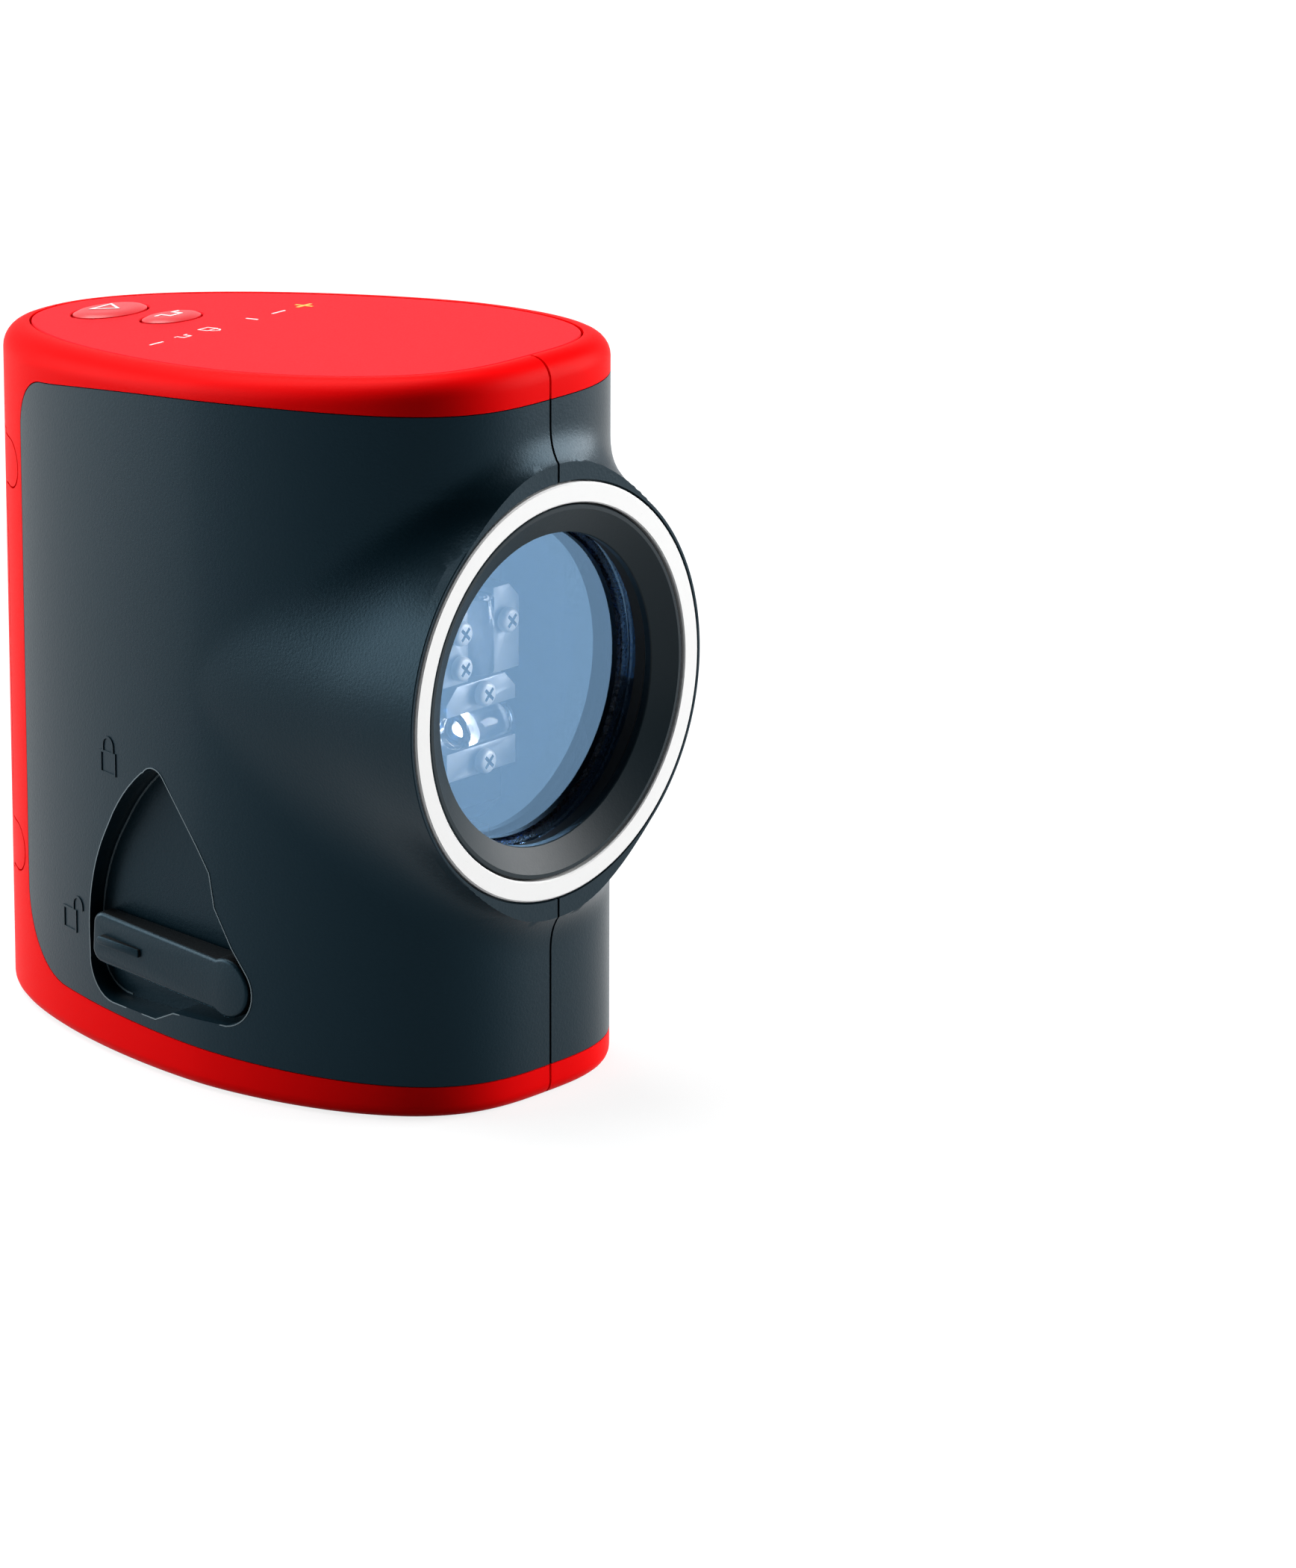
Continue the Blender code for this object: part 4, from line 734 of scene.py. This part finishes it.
# %% [markdown]
# ## Printed signs
# The row on the plate has dashes, a pulse, a padlock and a bar in white and one cross in amber. The
# keys carry a triangle and a pulse. Each sign is a stroke: a line of points on the plate, widened to a
# ribbon and given the thickness of the print.

# %% Print the signs
print_white, _ = moulded("white_pad_print", "#f3eceb", "#ece4e3", 0.4, 0.002, 0.45)
print_amber, _ = moulded("amber_pad_print", "#f0b43c", "#e8a930", 0.4, 0.002, 0.45)


def ribbon(points, width, closed=False):
    """The two edges of a line of points that is widened in its plane."""
    points = [Vector(p) for p in points]
    count = len(points)
    left, right_side = [], []
    for i, at in enumerate(points):
        before = points[(i - 1) % count] if closed or i else at
        after = points[(i + 1) % count] if closed or i < count - 1 else at
        a = (at - before).normalized() if (at - before).length > 0 else (after - at).normalized()
        b = (after - at).normalized() if (after - at).length > 0 else a
        mid = (a + b).normalized()
        out = Vector((-mid.y, mid.x)) * (width / 2 / max(0.4, mid.dot(a)))
        left.append(at + out)
        right_side.append(at - out)
    return left, right_side


def stroke(points, width, lay, lift, closed=False):
    """A ribbon laid on a surface and thickened: lay turns a flat point into a place."""
    left, right_side = ribbon(points, width, closed)
    bm = bmesh.new()
    rows = [[bm.verts.new(lay(p)) for p in line] for line in (left, right_side)]
    pairs = len(points) if closed else len(points) - 1
    faces = []
    for i in range(pairs):
        j = (i + 1) % len(points)
        faces.append(bm.faces.new((rows[0][i], rows[0][j], rows[1][j], rows[1][i])))
    grown = bmesh.ops.extrude_face_region(bm, geom=faces)
    tips = [g for g in grown["geom"] if isinstance(g, bmesh.types.BMVert)]
    bmesh.ops.translate(bm, vec=lift, verts=tips)
    bmesh.ops.recalc_face_normals(bm, faces=bm.faces)
    return bm


def on_top(p):
    """A flat point (mm, seen by someone behind the body) on the top plate."""
    x, y = p[0] * MM, Y0 + p[1] * MM
    return x, y, top_z(y) + 0.01 * MM


def gather(parts):
    """Several bmeshes as one."""
    whole = bmesh.new()
    for bm in parts:
        mesh = bpy.data.meshes.new("part")
        bm.to_mesh(mesh)
        bm.free()
        whole.from_mesh(mesh)
        bpy.data.meshes.remove(mesh)
    return whole


def padlock(cx, cy, w, h, opened=0.0):
    """Outlines of a padlock: its body and its shackle, in flat units."""
    brow = cy + h * 0.08
    body = [(cx - w / 2, cy - h / 2), (cx + w / 2, cy - h / 2), (cx + w / 2, brow), (cx - w / 2, brow)]
    r = w * 0.36
    top = cy + h * 0.5 - r
    bow = [(cx - r + opened, brow)] + [(p + opened, q) for p, q in arc((cx, top), r, 180, 0, 8)]
    bow.append((cx + r + opened, top - r * 0.5 if opened else brow))
    return body, bow


UP = (0, 0.004 * MM, 0.05 * MM)
ROW = 18.5
BOLD, FINE = 0.30, 0.18
pulse = [(-10.2, 19.1), (-9.7, 19.1), (-9.7, 17.9), (-8.4, 17.9), (-8.4, 19.1), (-7.9, 19.1)]
signs = [
    stroke([(-15.3, ROW), (-12.9, ROW)], BOLD, on_top, UP),
    stroke(pulse, 0.20, on_top, UP),
    stroke([(3.5, 17.5), (3.5, 19.5)], BOLD, on_top, UP),
    stroke([(7.3, ROW), (9.7, ROW)], BOLD, on_top, UP),
]
lock_body, lock_bow = [[(x, 2 * ROW - y) for x, y in line] for line in padlock(-4.1, ROW, 1.7, 2.8)]
signs += [stroke(lock_body, FINE, on_top, UP, True), stroke(lock_bow, FINE, on_top, UP)]
set_down(lump(gather(signs)), "top_signs", "housing", print_white)
cross = [stroke([(12.0, ROW), (14.6, ROW)], 0.55, on_top, UP)]
for start, end in ((17.0, 18.2), (18.8, 20.0)):
    cross.append(stroke([(13.3, start), (13.3, end)], 0.40, on_top, UP))
set_down(lump(gather(cross)), "cross_sign", "housing", print_amber)


# %% Signs on the keys
def on_key(p):
    """A flat point on a key's dome."""
    x, y = p[0] * MM, Y0 + p[1] * MM
    return x, y, top_z(y) + 0.46 * MM


KEY_LINE = 0.32
triangle = stroke([(-1.9, 42.0), (1.9, 42.0), (0.0, 38.9)], KEY_LINE, on_key, UP, True)
set_down(lump(triangle), "power_sign", "power_key", print_white)
wave = [(-2.2, 30.2), (-1.0, 30.2), (-1.0, 28.6), (1.0, 28.6), (1.0, 30.2), (2.2, 30.2)]
set_down(lump(stroke(wave, KEY_LINE, on_key, UP)), "pulse_sign", "pulse_key", print_white)

# %% [markdown]
# ## Lens ring, bezel and window
# A white ring lies in the collar's rebate. Inside it a dark cone leads to the glass, with a black
# gasket in front of it. All are round, so each is one profile spun about the lens axis. The spring clip
# behind the glass is kept from the CAD.


# %% Spin the window stack
def lens_part(name, profile, mat, node, steps=144, angle=28):
    """A turned piece on the lens axis, from (radius, distance behind the widest section) in millimetres."""
    bm = spun(in_mm(profile), (0, Y0, LENS_Z), (0, 1, 0), steps)
    set_down(lump(bm), name, "housing", mat, [node], angle)


ring = [(24.1, -36.70), (24.25, -36.85), (26.5, -36.85), (26.7, -36.65), (26.7, -35.65), (24.1, -35.65)]
lens_part("lens_ring_skin", ring, ring_white, "lens_ring")
bezel = [(23.8, -36.5), (23.8, -35.35), (24.4, -35.35), (24.4, -26.15)]
bezel += [(21.7, -26.15), (21.7, -33.65), (20.1, -33.65)]
bezel += [(20.0, -33.75), (20.0, -34.65), (20.1, -34.8), (23.1, -36.5), (23.25, -36.6), (23.7, -36.6)]
lens_part("bezel_skin", bezel, bezel_abs, "bezel", 144, 25)
gasket = [(20.5, -33.35), (21.4, -33.35), (21.4, -31.75), (20.4, -31.75), (20.4, -33.25)]
lens_part("gasket_skin", gasket, rubber, "window_gasket")
glass = [(0, -31.45), (21.2, -31.45), (21.4, -31.3), (21.4, -30.0), (21.2, -29.85), (0, -29.85)]
lens_part("window_skin", glass, coated, "window", 144, 20)

# %% [markdown]
# ## Lock lever and its signs
# The lever lies in its recess, thicker at the hub than at the tip, with a grip rib near the tip. Its
# face is soft-touch and its flanks are near-black, which is painted shade. Two thin raised lines in a
# paler grey, at the mouth of the recess and on its floor, are painted highlights on those edges. An
# open and a closed padlock are moulded into the panel where the lever's two ends of travel are, as
# thin raised lines.


# %% Lever
def on_lever(along, side, x):
    """A point on the lever at rest: along it, across it, and out to the left."""
    c, s = math.cos(REST), math.sin(REST)
    return x, LEVER_Y + (along * c - side * s) * MM, LEVER_Z + (along * s + side * c) * MM


def lever_edge():
    """The lever's outline in millimetres: a round hub and a bar with a blunt round end."""
    lean = math.degrees(math.asin(3.4 / 3.9))
    points = arc((0, 0), 3.9, lean, 360 - lean, 28)
    points += arc((23.2, -1.6), 1.8, -90, 0, 8) + arc((23.2, 1.6), 1.8, 0, 90, 8)
    return points


LEVER_BACK, LEVER_DEEP = -22.2 * MM, 3.7 * MM
HUB_FACE, TAPER, LEVER_LONG = -26.5, 1.8, 25
bm = extruded([on_lever(a, b, LEVER_BACK) for a, b in lever_edge()], (-LEVER_DEEP, 0, 0))
for vert in bm.verts:
    if vert.co.x < LEVER_BACK - LEVER_DEEP / 2:
        along = (vert.co.y - LEVER_Y) / MM
        vert.co.x = (HUB_FACE + TAPER * max(along, 0) / LEVER_LONG) * MM
lever = lump(soften(bm, 0.5 * MM, 50, 4), "lever")
rib_edge = [(15.9, -0.55)] + arc((22.7, 0), 0.6, -80, 80, 6) + [(15.9, 0.55)]
bm = extruded([on_lever(a, b, -23.5 * MM) for a, b in rib_edge], (-2.3 * MM, 0, 0))
carve(lever, soften(bm, 0.18 * MM, 60, 2), "UNION")
set_down(lever, "lock_lever_skin", "lock", grey_soft, ["lock_lever"], 40)
# Every face that doesn't look out to the left takes the near-black finish: painted shade on the flanks.
lever.data.materials.append(flank_shade_black)
for face in lever.data.polygons:
    face.material_index = int(face.normal.x > -0.35)


# %% Padlock signs on the panel
def on_panel(p):
    """A flat point (mm behind the widest section, height) on the left panel's wall."""
    reach, (wide, long) = (TAIL, TAIL_POWERS) if p[0] > 0 else (NOSE, NOSE_POWERS)
    share = 1 - (abs(p[0]) * MM / reach) ** long
    return -HALF_W * share ** (1 / wide) - 0.01 * MM, Y0 + p[0] * MM, p[1] * MM


OUT = (-0.14 * MM, 0, 0)
parts = []
for cx, cz, opened in ((17.3, 40.3, 0.0), (26.9, 17.0, 2.0)):
    body, bow = padlock(-cx, cz, 3.0, 4.8, opened)
    for line, closed in ((body, True), (bow, False)):
        parts.append(stroke([(-x, z) for x, z in line], 0.28, on_panel, OUT, closed))
set_down(lump(gather(parts)), "padlock_signs", "housing", grey_soft)

# The bead round the recess's mouth is paler grey: a painted highlight on that edge.
edge = [((y - Y0) / MM, z / MM) for y, z in recess(0.08 * MM)]
bead = stroke(edge, 0.14, on_panel, (-0.07 * MM, 0, 0), True)
set_down(lump(bead), "recess_bead", "housing", edge_highlight_grey)


def on_floor(p):
    """A flat point (mm behind the widest section, height) on the floor of the recess."""
    return RECESS_X - 0.02 * MM, Y0 + p[0] * MM, p[1] * MM


# The line on the recess floor is paler grey too: a painted highlight on that edge.
edge = [((y - Y0) / MM, z / MM) for y, z in recess(-0.30 * MM)]
line = stroke(edge[-9:] + edge[:24], 0.22, on_floor, (-0.08 * MM, 0, 0))
set_down(lump(line), "recess_floor_line", "housing", edge_highlight_grey)

# %% [markdown]
# ## Optics on the pendulum
# Behind the glass two die-cast clamps hold a rod lens each, one upright and one level. Pan-head screws
# with cross slots hold the clamps; the slots are near-black, which is painted shade. Small bevels make
# the castings catch the light.


# %% Clamps, rods and screws
def rounded_copy(node, width):
    """A CAD node's mesh with its points merged, flat faces joined and sharp edges rounded."""
    bm = bmesh.new()
    bm.from_mesh(NODES[node].data)
    bmesh.ops.remove_doubles(bm, verts=bm.verts, dist=1e-6)
    bmesh.ops.dissolve_limit(bm, angle_limit=math.radians(1), verts=bm.verts, edges=bm.edges)
    return soften(bm, width)


for node in ("upper_clamp", "lower_clamp"):
    casting = lump(rounded_copy(node, 0.25 * MM))
    set_down(casting, node + "_casting", "pendulum", blasted, [node], 40)

CLAMP_FRONT = 17.8 + 5.9
RODS = {"vertical": ((0, 0, 1), 5.1), "horizontal": ((1, 0, 0), -6.9)}
rod_y = Y0 - (CLAMP_FRONT - 0.7) * MM
profile = [(0, -5.0), (1.9, -5.0), (2.2, -4.7), (2.2, 4.7), (1.9, 5.0), (0, 5.0)]
for name, (axis, above) in RODS.items():
    bm = spun(in_mm(profile), (0, rod_y, LENS_Z + above * MM), axis, 64)
    set_down(lump(bm), name + "_rod_lens", "pendulum", rod_glass, [name + "_lens"], 50)


def pan_head(node, body, centre, axis, sizes, mat):
    """A pan-head screw with a cross slot: head radius and height, shank radius and length, in mm."""
    head_r, head_h, shank_r, length = sizes
    centre, axis = Vector(centre), Vector(axis)
    profile = [(0, -length), (shank_r, -length), (shank_r, 0), (head_r, 0), (head_r, head_h * 0.5)]
    profile += [(head_r * 0.96, head_h * 0.72), (head_r * 0.84, head_h * 0.9)]
    profile += [(head_r * 0.66, head_h), (0, head_h)]
    screw = lump(spun(in_mm(profile), centre, axis, 40))
    side = Vector((0, 0, 1)) if abs(axis[2]) < 0.5 else Vector((1, 0, 0))
    other = side.cross(axis)
    slot_w, slot_l = head_r * 0.14 * MM, head_r * 0.64 * MM
    base = centre + axis * head_h * 0.3 * MM
    for a, b in ((side + other, side - other), (side - other, side + other)):
        a, b = a.normalized() * slot_l, b.normalized() * slot_w
        corners = [base - a - b, base + a - b, base + a + b, base - a + b]
        carve(screw, extruded(corners, axis * head_h * MM))
    set_down(screw, node + "_pan", body, mat, [node], 30)
    # The slots' walls and floor take the near-black finish: painted shade in the slots.
    screw.data.materials.append(slot_shade_black)
    for face in screw.data.polygons:
        deep = (face.center - centre).dot(axis) / MM
        off = (face.center - centre - axis * deep * MM).length / MM
        face.material_index = int(0.2 * head_h < deep < 0.98 * head_h and off < 0.67 * head_r)


CLAMP_SCREW = (1.6, 1.1, 0.8, 4.0)
HOUSING_SCREW = (2.4, 1.6, 1.3, 20.0)
clamp_front = Y0 - (CLAMP_FRONT + 0.3) * MM
for end in ("left", "right", "low", "top", "base"):
    low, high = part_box("clamp_screw_" + end)
    spot = (low + high) / 2
    centre = (spot.x, clamp_front, spot.z)
    pan_head("clamp_screw_" + end, "pendulum", centre, (0, -1, 0), CLAMP_SCREW, bright)
for end in ("front_top", "front_base", "rear_top", "rear_base"):
    low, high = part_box("housing_screw_" + end)
    spot = (low + high) / 2
    centre = (12.3 * MM, spot.y, spot.z)
    pan_head("housing_screw_" + end, "housing", centre, (1, 0, 0), HOUSING_SCREW, steel)

# %% [markdown]
# ## Pieces kept from the CAD
# The inner parts already have their shape, so they only get a finish: steel pins, brass barrels, green
# boards. The three cells are spun afresh as plain cans with a dark sleeve and a copper end.

# %% Finishes for the kept nodes
COPPER_Z = 57 * MM
sleeve, sleeve_shader = finish("cell_sleeve_film", "#26282b", Roughness=0.3, IOR=1.5)
coords = put(sleeve, "ShaderNodeTexCoord").outputs["Object"]
height = put(sleeve, "ShaderNodeSeparateXYZ", {"Vector": coords}).outputs["Z"]
band = put(sleeve, "ShaderNodeMath", {0: height, 1: COPPER_Z}, operation="GREATER_THAN")
speck = put(sleeve, "ShaderNodeTexNoise", {"Vector": coords, "Scale": 1 / (0.6 * MM), "Detail": 2.0})
shades = {0: band.outputs[0], 6: linear("#26282b"), 7: linear("#b87648")}
tint = put(sleeve, "ShaderNodeMix", shades, data_type="RGBA")
sleeve.node_tree.links.new(tint.outputs[2], sleeve_shader.inputs["Base Color"])
sheen = put(sleeve, "ShaderNodeMapRange", {"Value": speck.outputs["Fac"], "To Min": 0.22, "To Max": 0.38})
sleeve.node_tree.links.new(sheen.outputs[0], sleeve_shader.inputs["Roughness"])

for name in ("cell_left", "cell_right", "cell_rear"):
    low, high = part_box(name)
    r, base, top = (high.x - low.x) / 2, low.z, high.z
    profile = [(0, base), (r - 0.5 * MM, base), (r, base + 0.5 * MM)]
    profile += [(r, top - 1.9 * MM), (r - 0.6 * MM, top - 1.4 * MM)]
    profile += [(2.7 * MM, top - 1.4 * MM), (2.7 * MM, top - 0.2 * MM), (2.5 * MM, top), (0, top)]
    bm = spun(profile, ((low.x + high.x) / 2, (low.y + high.y) / 2, 0), (0, 0, 1), 64)
    set_down(lump(bm), name + "_can", "housing", sleeve, [name], 40)

FINISH_OF = {
    zinc: "gimbal_bracket gimbal_ring",
    dark_zinc: "pendulum_body",
    steel: "lock_shaft lock_plunger roll_pin_front roll_pin_rear pitch_pin_left pitch_pin_right "
           "bracket_screw_left bracket_screw_right damper_magnet window_clip power_switch pulse_switch",
    brass: "upper_laser lower_laser tripod_bush",
    copper: "damper_plate",
    nickel: "contact_base contact_top",
    board_green: "keypad_board driver_board",
    black_abs: "battery_tray lock_bridge magnet_post tripod_block",
    rubber: "brake_pad",
}
for mat, names in FINISH_OF.items():
    for name in names.split():
        NODES[name].data.materials.clear()
        NODES[name].data.materials.append(mat)
print("kept nodes:", sum(len(names.split()) for names in FINISH_OF.values()))
